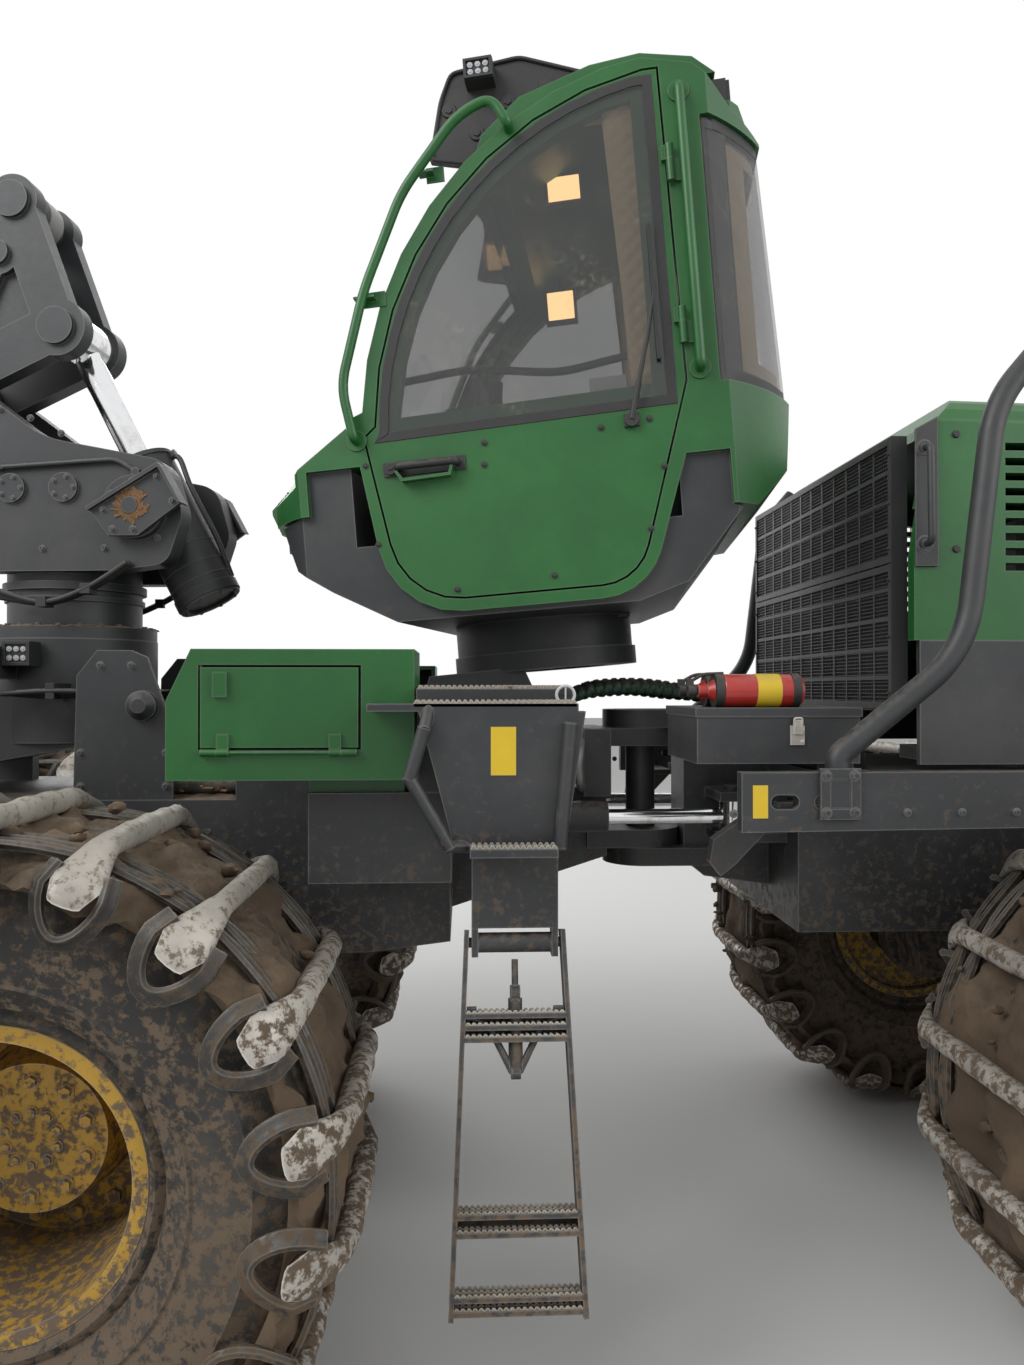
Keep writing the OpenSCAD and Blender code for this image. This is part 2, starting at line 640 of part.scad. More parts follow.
module cab_door() color(green) cab_place() {
  difference() {
    side_plate(door_edge, side_wall[0] + 4, half_w - 2);
    side_plate(pane_edge, side_wall[0] - 60, half_w + 80);
    side_plate(glass_edge, half_w - 10, half_w + 80);
  }
  for (z = [860 + fit, 1310 + fit]) {
    translate([hinge[0], hinge[1], z]) cylinder(h = 40, r = 12, $fn = 24);
    translate([hinge[0], hinge[1], z - 61]) cylinder(h = 62, r = 6, $fn = 24);
    box([hinge[0], half_w + 3, z], [hinge[0] + 22, hinge[1], z + 40]);
    box([hinge[0] + 12, half_w - 20, z], [hinge[0] + 24, hinge[1], z + 40]);
  }
  side_plate([[160, 530], [168, 502], [312, 498], [330, 528], [322, 530], [306, 506], [174, 510],
    [168, 530]], half_w - 3, half_w + 34);
}
module door_glass() color("LightCyan") cab_place()
  side_plate(inset(glass_edge, fit), half_w - 10 + fit, half_w - 1);
module seat() color(black) cab_place() {
  box([-420, -260, 560], [140, 260, 690]);
  side_plate([[-420, 600], [-300, 600], [-400, 1350], [-520, 1330]], -240, 240);
  translate([-130, 0, 331 + fit]) cylinder(h = 260, r = 120, $fn = 32);
  both_sides() box([-300, 280, 700], [120, 360, 790]);
  both_sides() box([-300, 255, 640], [-240, 300, 790]);
}
rail_y = half_w + 34;
module cab_rails() color(green) cab_place() both_sides() {
  tube_run([[-70, 1466], [-30, 1545], [73, 1506], [247, 1312], [379, 1047], [465, 787],
    [440, 634]], rail_y, 14);
  tube_run([[-548, 1500], [-548, 730]], rail_y, 14);
  for (p = [[-70, 1466], [440, 634], [-548, 1500], [-548, 730]])
    cross_pin(p[0], p[1], half_w + fit, rail_y, 14.5);
}
// Roof bracket with its lamps, lamp clusters on the nose and rear lamps
nose_lamp = [[640, 300, 352], [724, 440, 548]];
module cab_lamps() color(black) cab_place() {
  both_sides() {
    side_plate([[64, 1465], [190, 1498], [145, 1673], [108, 1752], [-106, 1769],
      [-309, 1686], [-309, 1660 + fit], [-100, 1600 + fit], [20 + fit, 1505 + fit], [64, 1470]], 430, 455);
    box(nose_lamp[0], nose_lamp[1]);
    box([-690, 430, 1500 + fit], [-630 - fit, 530, 1570]);
  }
  box([75, -432, 1690], [105, 432, 1720]);
  for (y = [-350, -120, 120, 350]) box([65, y - 70, 1600], [125, y + 70, 1700]);
}
module lamp_recess() both_sides()
  box(nose_lamp[0] - [fit, fit, fit], [900, nose_lamp[1][1] + fit, nose_lamp[1][2] + fit]);

// Crane base that tilts, and the slewing pillar on it
module crane_base() color(dark) machine() {
  translate([crane_x, 0, 1640]) cylinder(h = 330, r = 260, $fn = 64);
  side_plate([[1760, 1640], [2200, 1560], [2360, 1600], [2360, 1720], [2200, 1800],
    [1760, 1800]], -235, 235);
  both_sides() cross_pin(2250, 1650, 235, 299, 50);
  both_sides() {
    box([2010, 200, 1840], [2045, 402, 1940]);
    for (y = [318, 386]) box([2030, y, 1840], [2160, y + 16, 1940]);
    for (y = [302, 398]) cross_pin(2120, 1890, y, y + 18, 30);
  }
}
module crane_pillar() color(dark) crane_place() {
  translate([crane_x, 0, 1970 + fit]) cylinder(h = 330, r = pillar_r, $fn = 64);
  translate([crane_x, 0, 1970 + fit]) cylinder(h = 40, r = 258, $fn = 64);
  both_sides() difference() {
    union() {
      side_plate(rounded([[1660, 2180, 0], [1500, 2200, 60], [1450, 2350, 90], [1500, 2520, 90],
        [1900, 2600, 300], [2300, 2900, 120], [2440, 2860, 60], [2440, 2700, 120], [2120, 2180, 0]]),
        170, 250);
      cross_pin(1596, 2373, 240, 282, 98);
      cross_pin(foot_x, foot_z, 240, 268, 92);
      for (p = [[1830, 2440, 46], [2000, 2440, 46]]) cross_pin(p[0], p[1], 240, 262, p[2]);
    }
    cross_pin(1596, 2373, 160, 290, 60.05);
    cross_pin(foot_x, foot_z, 160, 290, 60.05);
  }
  box([1760, -170, 2200], [2080, 170, 2320]);
}

// Lift cylinder in its trunnion behind the pillar
lift_a = atan2(2986 - 2373, 1913 - 1596);
lift_run = norm([2986 - 2373, 1913 - 1596]);
module lift_frame() {
  crane_place() translate([1596, 0, 2373]) rotate([0, 90 - lift_a, 0]) children();
}
module lift_barrel() color(dark) lift_frame() difference() {
  union() {
    translate([0, 0, -300]) cylinder(h = 520, r = 105, $fn = 48);
    rotate([90, 0, 0]) cylinder(h = 498, r = 60, center = true, $fn = 32);
  }
  translate([0, 0, -250]) cylinder(h = 500, r = 80, $fn = 40);
}
module lift_rod() color(steel) lift_frame() {
  translate([0, 0, 65]) cylinder(h = lift_run - 100, r = 45, $fn = 32);
  translate([0, 0, 65]) cylinder(h = 60, r = 79.7, $fn = 32);
  translate([0, 0, lift_run]) rotate([90, 0, 0])
    cylinder(h = 180 - 2 * fit, r = 80, center = true, $fn = 32);
}

// Cast rocker: two plates either side of the main boom's foot
rock_dx = 2065 - foot_x;
rock_dz = 3402 - foot_z;
module rocker_outline() difference() {
  union() {
    strap_outline([1913, 2986], [2065, 3402], 85);
    strap_outline([1913, 2986], [foot_x, foot_z], 95);
    strap_outline([2065, 3402], [foot_x, foot_z], 85);
    translate([2110, 3230]) circle(70, $fn = 40);
  }
  translate([foot_x, foot_z]) circle(60.05, $fn = 40);
}
module rocker() color(dark) crane_place() {
  both_sides() {
    translate([0, 150, 0]) rotate([90, 0, 0]) linear_extrude(60) rocker_outline();
    difference() {
      side_plate([[1913, 2986], [foot_x, foot_z], [2065, 3402]], 108, 128);
      cross_pin(foot_x, foot_z, 100, 140, 60.05);
    }
  }
  cross_pin(2065, 3402, -100, 100, 45);
  both_sides() {
    cross_pin(1913, 2986, 149, 165, 60);
    cross_pin(2065, 3402, 149, 165, 60);
    cross_pin(2110, 3230, 149, 165, 40);
  }
}
// Bar that keeps the stick parallel to the rocker
module link_bar() color(steel) crane_place() difference() {
  strap([2065, 3402], [knee_x + rock_dx, knee_z + rock_dz], 75, -40, 40);
  cross_pin(2065, 3402, -50, 50, 45.05);
  cross_pin(knee_x + rock_dx, knee_z + rock_dz, -50, 50, 40.05);
}
module boom_frame() {
  crane_place() translate([foot_x, 0, foot_z]) rotate([0, -boom_rise, 0]) children();
}
module main_boom() color(dark) boom_frame() {
  difference() {
    union() {
      cross_pin(0, 0, -84, 84, 110);
      side_plate([[0, -110], [500, -190], [boom_len - 600, -130], [boom_len - 420, -100],
        [boom_len - 420, 100], [boom_len - 600, 130], [500, 120], [0, 110]], -84, 84);
      both_sides() strap([boom_len - 900, 0], [boom_len, 0], 110, 84, 140);
    }
    cross_pin(boom_len, 0, -150, 150, 50.05);
  }
  cross_pin(0, 0, -250, 250, 60);
  both_sides() box([1405, 40, 100], [1520, 70, 220]);
  cross_pin(1450, 190, -70, 70, 30);
}
// Cylinder between the main boom's back and the rocker
fold_x = foot_x + 1450 * cos(boom_rise) - 190 * sin(boom_rise);
fold_z = foot_z + 1450 * sin(boom_rise) + 190 * cos(boom_rise);
fold_run = norm([2110 - fold_x, 3230 - fold_z]);
fold_a = atan2(3230 - fold_z, 2110 - fold_x);
module fold_frame() crane_place() translate([fold_x, 0, fold_z])
  rotate([0, 90 - fold_a, 0]) children();
module fold_barrel() color(dark) fold_frame() difference() {
  union() {
    translate([0, 0, 90]) cylinder(h = 710, r = 62, $fn = 40);
    translate([0, 0, 40]) cylinder(h = 60, r = 34, $fn = 40);
    rotate([90, 0, 0]) cylinder(h = 79, r = 55, center = true, $fn = 32);
  }
  rotate([90, 0, 0]) cylinder(h = 80, r = 30.05, center = true, $fn = 32);
  translate([0, 0, 110]) cylinder(h = 750, r = 50, $fn = 32);
}
module fold_rod() color(steel) fold_frame() {
  union() {
    translate([0, 0, 500]) cylinder(h = fold_run - 500, r = 32, $fn = 32);
    translate([0, 0, 480]) cylinder(h = 50, r = 49.7, $fn = 32);
    translate([0, 0, fold_run]) rotate([90, 0, 0])
      cylinder(h = 180 - 2 * fit, r = 55, center = true, $fn = 32);
  }
}

// Stick on the knuckle, and the extension that slides in it
stick_a = stick_dir;
lug_r = norm([rock_dx, rock_dz]);
lug_a = atan2(rock_dz, rock_dx) - stick_a;
module stick_frame() {
  crane_place() translate([knee_x, 0, knee_z]) rotate([0, -stick_a, 0]) children();
}
module stick() color(dark) {
  stick_body();
  stick_pin();
}
module stick_body() stick_frame() difference() {
  union() {
    cross_pin(0, 0, -83, 83, 110);
    cross_pin(0, 0, -140, 140, 50);
    side_plate([[0, -110], [300, -130], [stick_len, -110], [stick_len, 110], [300, 130],
      [0, 110]], -83, 83);
    both_sides() strap([0, 0], [lug_r * cos(lug_a), lug_r * sin(lug_a)], 80, 45, 83);
  }
  box([330, -68, -95], [stick_len + 10, 68, 95]);
}
module stick_pin() stick_frame()
  cross_pin(lug_r * cos(lug_a), lug_r * sin(lug_a), -83, 83, 40);
module extension() color(dark) stick_frame() difference() {
  union() {
    box([400, -67.7, -94.7], [stick_len + 120, 67.7, 94.7]);
    strap([stick_len + 60, 0], [stick_len + 200, 0], 80, -60, 60);
  }
  box([390, -58, -85], [stick_len, 58, 85]);
  cross_pin(stick_len + 200, 0, -70, 70, 30.05);
}

// Rotator hanging under the extension's tip
hang_x = knee_x + (stick_len + 200) * cos(stick_dir);
hang_z = knee_z + (stick_len + 200) * sin(stick_dir);
module rotator() color(dark) crane_place() translate([hang_x, 0, hang_z]) {
  both_sides() strap([0, 0], [0, -300], 60, 61, 85);
  cross_pin(0, 0, -85, 85, 30);
  translate([0, 0, -480]) cylinder(h = 200, r = 130, $fn = 48);
  box([-60, -85, -300], [60, 85, -270]);
}

// Harvester head lying level under the rotator
head_z = hang_z - 480;
module head_place() {
  crane_place() translate([hang_x, 0, head_z]) children();
}
pivot_x = -270;
pivot_z = -430;
module head_frame() color(green) head_place() {
  translate([0, 0, -40 - fit]) cylinder(h = 40, r = 160, $fn = 48);
  box([-160, -190, -80], [120, 190, -40]);
  both_sides() side_plate([[120, -40.3], [120, -80], [-150, -260], [-190, -430], [-270, -510],
    [-350, -430], [-260, -160], [-160, -40.3]], 150, 190);
  cross_pin(pivot_x, pivot_z, -190, 190, 40);
}
module head_body() color(green) head_place() difference() {
  union() {
    side_plate([[-600, -350], [-400, -330], [500, -330], [580, -350], [580, -540],
      [400, -560], [-600, -520]], -110, 110);
    cross_pin(pivot_x, pivot_z, -140, 140, 90);
    box([-60, -60, -800], [200, 60, -340]);
    both_sides() difference() {
      box([20, 50, -570 + fit], [120, 250, -540]);
      translate([70, 200, -580]) cylinder(h = 60, r = 25.05, $fn = 32);
    }
    box([560, -170, -900], [580, 170, -350]);
    box([640, -170, -900], [655, 170, -350]);
    box([570, -170, -390], [650, 170, -350]);
    box([-640, -120, -640], [-590, 120, -340]);
  }
  cross_pin(pivot_x, pivot_z, -160, 160, 40.05);
}
module knife_half() {
  translate([430, 0, 0]) rotate([90, 0, 90]) linear_extrude(60)
    polygon([[116, -400], [260, -460], [340, -640], [260, -820], [120, -900], [60, -890],
      [220, -790], [285, -640], [220, -500], [116, -450]]);
  translate([430, 150 + fit, -420]) rotate([0, 90, 0]) cylinder(h = 60, r = 40, $fn = 32);
}
module knife_left() color(dark) head_place() knife_half();
module knife_right() color(dark) head_place() mirror([0, 1, 0]) knife_half();
module roller() {
  translate([70, 200, -820]) cylinder(h = 250, r = 130, $fn = 40);
  translate([70, 200, -820]) cylinder(h = 280, r = 25, $fn = 32);
}
module roller_left() color(dark) head_place() roller();
module roller_right() color(dark) head_place() mirror([0, 1, 0]) roller();
module saw_bar() color(steel) head_place() {
  box([605, 70, -860], [613, 140, -430]);
  translate([600, 105, -430]) rotate([0, 90, 0]) cylinder(h = 18, r = 35, $fn = 32);
  translate([580 + fit, 105, -430]) rotate([0, 90, 0]) cylinder(h = 60 - 2 * fit, r = 18, $fn = 32);
}

front_frame();
front_bogies();
front_rims();
front_tyres();
front_tracks();
lockers();
locker_door_left();
locker_door_right();
platform();
ladder();
cab_base();
steer_barrel_left();
steer_barrel_right();
steer_rod_left();
steer_rod_right();
tilt_barrels();
tilt_rods();
rear_frame();
rear_bogies();
rear_rims();
rear_tyres();
rear_tracks();
engine();
hood();
grille();
side_covers();
toolbox();
toolbox_lid();
side_beams();
guard_rails();
extinguishers();
joint_hoses();
cab_floor();
cab_shell();
cab_roof();
cab_glass();
cab_door();
door_glass();
seat();
cab_rails();
cab_lamps();
crane_base();
crane_pillar();
lift_barrel();
lift_rod();
rocker();
link_bar();
main_boom();
fold_barrel();
fold_rod();
stick();
extension();
rotator();
head_frame();
head_body();
knife_left();
knife_right();
roller_left();
roller_right();
saw_bar();
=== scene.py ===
# %% [markdown]
# A forestry harvester, dressed for its picture.
#
# The construction is already there: every frame, tube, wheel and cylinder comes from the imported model.
# Here each surface gets the finish that the working machine has, and the small pieces that a fabricator
# bolts, clips or screws on last are modelled and set on the body that carries them.

# %% Load the frame
import math
import random

import bmesh
import bpy
from mathutils import Matrix, Vector


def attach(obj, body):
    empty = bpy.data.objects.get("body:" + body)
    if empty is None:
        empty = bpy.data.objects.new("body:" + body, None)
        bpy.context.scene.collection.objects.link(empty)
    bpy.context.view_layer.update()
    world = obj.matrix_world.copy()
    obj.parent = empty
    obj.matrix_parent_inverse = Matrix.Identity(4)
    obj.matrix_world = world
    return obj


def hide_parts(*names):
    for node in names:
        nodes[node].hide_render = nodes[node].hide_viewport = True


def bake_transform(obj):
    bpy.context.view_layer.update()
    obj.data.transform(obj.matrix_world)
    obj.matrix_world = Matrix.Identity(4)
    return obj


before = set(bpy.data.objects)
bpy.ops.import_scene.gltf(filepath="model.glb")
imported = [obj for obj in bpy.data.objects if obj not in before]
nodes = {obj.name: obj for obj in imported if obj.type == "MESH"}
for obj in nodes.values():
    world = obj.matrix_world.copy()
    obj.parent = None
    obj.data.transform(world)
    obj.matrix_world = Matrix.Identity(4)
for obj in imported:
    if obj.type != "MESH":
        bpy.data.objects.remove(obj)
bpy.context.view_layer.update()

# %% [markdown]
# Three places to measure from.
#
# A fitter measures along the machine from the articulation joint, in the cab from its slewing centre, and
# on the crane with the pillar turned straight. Each of these gets a matrix, so that the sizes below are the
# ones read off the machine, in millimetres, and the pieces still land in the model's own frame in metres.

# %% Machine, cab and crane frames
MM = 0.001
MID_X = 1071
CAB_CENTRE = (330, 0, 1937)
CAB_NOSE_DOWN = math.radians(4.5)
CAB_YAW = math.radians(-10)
CRANE_X = 1920
CRANE_YAW = math.radians(-6.5)

to_metres = Matrix.Scale(MM, 4)
MACHINE = to_metres @ Matrix.Translation((-MID_X, 0, 0))
CAB = (MACHINE @ Matrix.Translation(CAB_CENTRE) @ Matrix.Rotation(CAB_NOSE_DOWN, 4, "Y")
       @ Matrix.Rotation(CAB_YAW, 4, "Z"))
CRANE = (MACHINE @ Matrix.Translation((CRANE_X, 0, 0)) @ Matrix.Rotation(CRANE_YAW, 4, "Z")
         @ Matrix.Translation((-CRANE_X, 0, 0)))
print("cab centre in metres", tuple(round(v, 3) for v in CAB.translation))

# %% [markdown]
# The camera stands where the picture was taken from.
#
# The horizon and the wheel sizes give an eye height of 1.81 m, 2.4 m from the tracks, looking almost
# square at the machine's left side with a wide lens. The picture's height sets the lens, so the sensor fits
# vertically and the frame stays the same at any width.

# %% Camera
EYE = (605, 3400, 1807)
LENS = 26
SENSOR = 36
TILT = math.radians(0.436)
PAN = math.radians(177.3)

camera_data = bpy.data.cameras.new("camera")
camera_data.lens = LENS
camera_data.sensor_fit = "VERTICAL"
camera_data.sensor_height = SENSOR
camera = bpy.data.objects.new("camera", camera_data)
camera.location = MACHINE @ Vector(EYE)
camera.rotation_euler = (math.pi / 2 + TILT, 0, PAN)
bpy.context.collection.objects.link(camera)
scene = bpy.context.scene
scene.camera = camera
scene.view_settings.view_transform = "Standard"
print("camera at", tuple(round(v, 3) for v in camera.location))

# %% [markdown]
# A studio big enough for a machine.
#
# Pale ground and a white surround keep attention on the object. Three broad lamps stand well off it: a key
# high on the camera's side, a fill from the rear and a weak one from the far side, so that dark steel keeps
# its edges. The surround shows white to the camera, in gloss and through glass, while its light on the
# object stays lower.

# %% Ground, surround and lamps
def new_material(name):
    material = bpy.data.materials.new(name)
    material.use_nodes = True
    tree = material.node_tree
    tree.nodes.clear()
    out = tree.nodes.new("ShaderNodeOutputMaterial")
    shader = tree.nodes.new("ShaderNodeBsdfPrincipled")
    tree.links.new(shader.outputs[0], out.inputs[0])
    return material, tree, shader


def add(tree, kind, **sockets):
    """A shader node; each socket gets a number, a colour or a link."""
    node = tree.nodes.new("ShaderNode" + kind)
    for name, value in sockets.items():
        socket = node.inputs[name.replace("_", " ")]
        if isinstance(value, bpy.types.NodeSocket):
            tree.links.new(value, socket)
        else:
            socket.default_value = value
    return node


def maths(tree, operation, a, b=None, clamp=False):
    """The result of one sum on two numbers or sockets."""
    node = tree.nodes.new("ShaderNodeMath")
    node.operation = operation
    node.use_clamp = clamp
    for value, socket in ((a, node.inputs[0]), (b, node.inputs[1])):
        if isinstance(value, bpy.types.NodeSocket):
            tree.links.new(value, socket)
        elif value is not None:
            socket.default_value = value
    return node.outputs[0]


GROUND_HALF = 60
GROUND_COLOUR = (0.72, 0.72, 0.71, 1)
SURROUND_LIGHT = 0.42

ground_mesh = bpy.data.meshes.new("ground")
ground_corners = [(x * GROUND_HALF, y * GROUND_HALF, 0) for x, y in ((-1, -1), (1, -1), (1, 1), (-1, 1))]
ground_mesh.from_pydata(ground_corners, [], [(0, 1, 2, 3)])
ground = bpy.data.objects.new("ground", ground_mesh)
bpy.context.collection.objects.link(ground)
ground_finish, _, ground_shader = new_material("pale ground")
ground_shader.inputs["Base Color"].default_value = GROUND_COLOUR
ground_shader.inputs["Roughness"].default_value = 0.9
ground_mesh.materials.append(ground_finish)

world = bpy.data.worlds.new("studio")
scene.world = world
world.use_nodes = True
sky = world.node_tree
sky.nodes.clear()
paths = add(sky, "LightPath").outputs
seen = maths(sky, "MAXIMUM", paths["Is Camera Ray"], paths["Is Glossy Ray"])
seen = maths(sky, "MAXIMUM", seen, paths["Is Transmission Ray"])
brightness = add(sky, "MapRange", Value=seen, To_Min=SURROUND_LIGHT, To_Max=1.0)
backdrop = add(sky, "Background", Color=(1, 1, 1, 1), Strength=brightness.outputs[0])
sky.links.new(backdrop.outputs[0], add(sky, "OutputWorld").inputs[0])


def lamp(name, place, aim, size, power):
    """A square lamp in metres and watts that looks at aim."""
    data = bpy.data.lights.new(name, "AREA")
    data.size = size
    data.energy = power
    light = bpy.data.objects.new(name, data)
    light.location = place
    light.rotation_euler = (Vector(aim) - Vector(place)).to_track_quat("-Z", "Y").to_euler()
    bpy.context.collection.objects.link(light)


lamp("key", (8.5, 6.5, 10), (0, 0, 1.5), 7, 1150)
lamp("rear fill", (-9, 6, 6), (-1, 0, 1.5), 6, 450)
lamp("far fill", (2, -10, 7), (0, 0, 1.5), 7, 420)

# %% [markdown]
# Paint that has worked in the woods.
#
# Enamel on such a machine is never one colour. It fades in clouds, carries fine dust on what faces up,
# shows splashes that get denser towards the ground, and is rubbed to primer and steel at its edges. One
# recipe makes all of these from noise at real scales, in metres, and each finish turns its own amounts up
# or down. A bevelled normal compared with the true one finds the edges, so that no image is needed.

# %% The finish recipe
def mix_colour(tree, amount, below, above):
    """The colour below where amount is 0 and the colour above where it is 1."""
    node = tree.nodes.new("ShaderNodeMix")
    node.data_type = "RGBA"
    for value, socket in ((amount, node.inputs[0]), (below, node.inputs[6]), (above, node.inputs[7])):
        if isinstance(value, bpy.types.NodeSocket):
            tree.links.new(value, socket)
        else:
            socket.default_value = value if socket.type == "VALUE" else (*value, 1)
    return node.outputs[2]


def step_between(tree, value, low, high, top=1.0):
    """A soft step from 0 at low to top at high."""
    node = add(tree, "MapRange", Value=value, From_Min=low, From_Max=high, To_Max=top)
    node.interpolation_type = "SMOOTHSTEP"
    return node.outputs[0]


def noise(tree, place, scale, detail=4, rough=0.6):
    """Layered noise with scale lumps to a metre."""
    return add(tree, "TexNoise", Vector=place, Scale=scale, Detail=detail, Roughness=rough).outputs[0]


DUST = (0.30, 0.25, 0.19)
MUD = (0.13, 0.095, 0.065)
BARE_STEEL = (0.36, 0.35, 0.34)
RUST = (0.16, 0.065, 0.03)
EDGE_REACH, BUMP_DEPTH = 0.006, 0.004


def finish(name, colour, shade=0.75, roughness=0.45, metallic=0.0, coat=0.0, edge=0.5, edge_colour=BARE_STEEL,
           dust=0.35, splash=0.3, splash_top=2.2, rust=0.15, grain=0.25, grain_scale=90):
    """A worn surface: colour clouds, dust on top, splashes from below, rubbed edges and fine grain."""
    material, tree, shader = new_material(name)
    place = add(tree, "TexCoord").outputs["Object"]
    facing = add(tree, "NewGeometry").outputs["Normal"]
    clouds = noise(tree, place, 2.3, 5, 0.65)
    specks = noise(tree, place, 38, 6, 0.7)
    darker = tuple(shade * c for c in colour)
    base = mix_colour(tree, step_between(tree, clouds, 0.35, 0.65), darker, colour)
    height = add(tree, "SeparateXYZ", Vector=place).outputs["Z"]
    up = add(tree, "SeparateXYZ", Vector=facing).outputs["Z"]
    lying = maths(tree, "MULTIPLY", step_between(tree, up, 0.2, 0.95), step_between(tree, specks, 0.35, 0.62))
    film = step_between(tree, clouds, 0.45, 0.8, dust * 0.25)
    dusty = maths(tree, "MAXIMUM", maths(tree, "MULTIPLY", lying, dust), film)
    base = mix_colour(tree, dusty, base, DUST)
    low = step_between(tree, height, splash_top, 0.2)
    spots = step_between(tree, maths(tree, "ADD", specks, maths(tree, "MULTIPLY", low, 0.2)), 0.60, 0.72)
    splashed = maths(tree, "MULTIPLY", spots, maths(tree, "MULTIPLY", low, splash * 2, True), True)
    base = mix_colour(tree, splashed, base, MUD)
    rounded = add(tree, "Bevel", Radius=EDGE_REACH)
    rounded.samples = 4
    turn = add(tree, "VectorMath", Vector=rounded.outputs[0])
    turn.operation = "DOT_PRODUCT"
    tree.links.new(facing, turn.inputs[1])
    bent = maths(tree, "ADD", turn.outputs["Value"], maths(tree, "MULTIPLY", specks, -0.12))
    rubbed = step_between(tree, bent, 0.925, 0.86, edge)
    base = mix_colour(tree, rubbed, base, edge_colour)
    rusty = maths(tree, "MULTIPLY", step_between(tree, noise(tree, place, 9, 8, 0.75), 0.62, 0.7), rust)
    base = mix_colour(tree, rusty, base, RUST)
    tree.links.new(base, shader.inputs["Base Color"])
    rough = maths(tree, "ADD", maths(tree, "MULTIPLY", dusty, 0.4), maths(tree, "MULTIPLY", specks, 0.16))
    rough = maths(tree, "ADD", rough, roughness - 0.08)
    rough = maths(tree, "ADD", rough, maths(tree, "MULTIPLY", splashed, 0.4), True)
    tree.links.new(rough, shader.inputs["Roughness"])
    shader.inputs["Metallic"].default_value = metallic
    shader.inputs["Coat Weight"].default_value = coat
    shader.inputs["Coat Roughness"].default_value = 0.25
    heightfield = maths(tree, "ADD", maths(tree, "MULTIPLY", noise(tree, place, grain_scale, 3), grain),
                        maths(tree, "MULTIPLY", splashed, 0.6))
    bump = add(tree, "Bump", Strength=0.25, Distance=BUMP_DEPTH, Height=heightfield)
    tree.links.new(bump.outputs[0], shader.inputs["Normal"])
    return material


green_paint = finish("green paint", (0.007, 0.112, 0.016), shade=0.72, roughness=0.45, coat=0.12, edge=0.2,
                     dust=0.1, splash=0.25, rust=0.04)
frame_paint = finish("grey frame paint", (0.034, 0.036, 0.039), shade=0.65, roughness=0.5, edge=0.35,
                     dust=0.26, splash=0.55, rust=0.22)
black_plastic = finish("black plastic", (0.018, 0.018, 0.019), shade=0.8, roughness=0.55, edge=0.15,
                       edge_colour=(0.09, 0.09, 0.09), dust=0.3, splash=0.3, rust=0, grain=0.6,
                       grain_scale=260)
rim_paint = finish("yellow rim paint", (0.52, 0.30, 0.03), shade=0.75, roughness=0.5, dust=0.6, splash=0.8,
                   splash_top=1.9, rust=0.35)
worn_steel = finish("worn shoe steel", (0.52, 0.485, 0.43), shade=0.62, roughness=0.5, metallic=0.25,
                    edge=0.7, edge_colour=(0.72, 0.70, 0.66), dust=0.3, splash=0.75, splash_top=2.6,
                    rust=0.7)
cast_steel = finish("light grey steel", (0.30, 0.30, 0.29), shade=0.75, roughness=0.5, metallic=0.3, dust=0.3,
                    splash=0.3, rust=0.3, grain=0.5)
engine_iron = finish("engine iron", (0.09, 0.09, 0.088), roughness=0.55, dust=0.5, splash=0.3, rust=0.3,
                     grain=0.8)
red_paint = finish("red cylinder paint", (0.42, 0.018, 0.012), shade=0.85, roughness=0.3, coat=0.4, dust=0.25,
                   splash=0.1, rust=0.05)
rubber = finish("tyre rubber", (0.028, 0.027, 0.026), shade=0.7, roughness=0.75, edge=0.15,
                edge_colour=(0.10, 0.09, 0.08), dust=0.75, splash=1.0, splash_top=2.6, rust=0, grain=1.0)
print("finishes", len(bpy.data.materials))

# %% [markdown]
# Finishes with no paint.
#
# Chrome on a cylinder's rod is a mirror with faint lengthwise haze and a film of oil that holds dust.
# Cab glass is thick, a little smoky and reflects the surround. It is made see-through without bending
# light, which is how a thin pane looks, and it lets the lamps light the cab's inside.

# %% Chrome and glass
chrome, chrome_tree, chrome_shader = new_material("hard chrome")
chrome_place = add(chrome_tree, "TexCoord").outputs["Object"]
oil = step_between(chrome_tree, noise(chrome_tree, chrome_place, 14, 5, 0.7), 0.45, 0.75)
chrome_tint = mix_colour(chrome_tree, oil, (0.80, 0.81, 0.82), (0.55, 0.53, 0.50))
chrome_tree.links.new(chrome_tint, chrome_shader.inputs["Base Color"])
chrome_rough = add(chrome_tree, "MapRange", Value=oil, To_Min=0.10, To_Max=0.32).outputs[0]
chrome_tree.links.new(chrome_rough, chrome_shader.inputs["Roughness"])
chrome_shader.inputs["Metallic"].default_value = 1.0


GLASS_IOR = 2.0


def clear_glass(name, tint, rough, see_through):
    """Tinted glass whose alpha is see_through where it is clean."""
    material, tree, shader = new_material(name)
    place = add(tree, "TexCoord").outputs["Object"]
    clouds = noise(tree, place, 3, 6, 0.7)
    specks = noise(tree, place, 55, 5, 0.7)
    dirty = maths(tree, "MULTIPLY", step_between(tree, clouds, 0.45, 0.8),
                  step_between(tree, specks, 0.45, 0.7))
    tree.links.new(mix_colour(tree, dirty, tint, DUST), shader.inputs["Base Color"])
    tree.links.new(add(tree, "MapRange", Value=dirty, To_Min=rough, To_Max=0.5).outputs[0],
                   shader.inputs["Roughness"])
    shader.inputs["IOR"].default_value = GLASS_IOR
    tree.links.new(add(tree, "MapRange", Value=dirty, To_Min=1 - see_through, To_Max=0.62).outputs[0],
                   shader.inputs["Alpha"])
    return material


cab_glass = clear_glass("cab glass", (0.012, 0.016, 0.015), 0.02, 0.58)
print("chrome and glass ready")

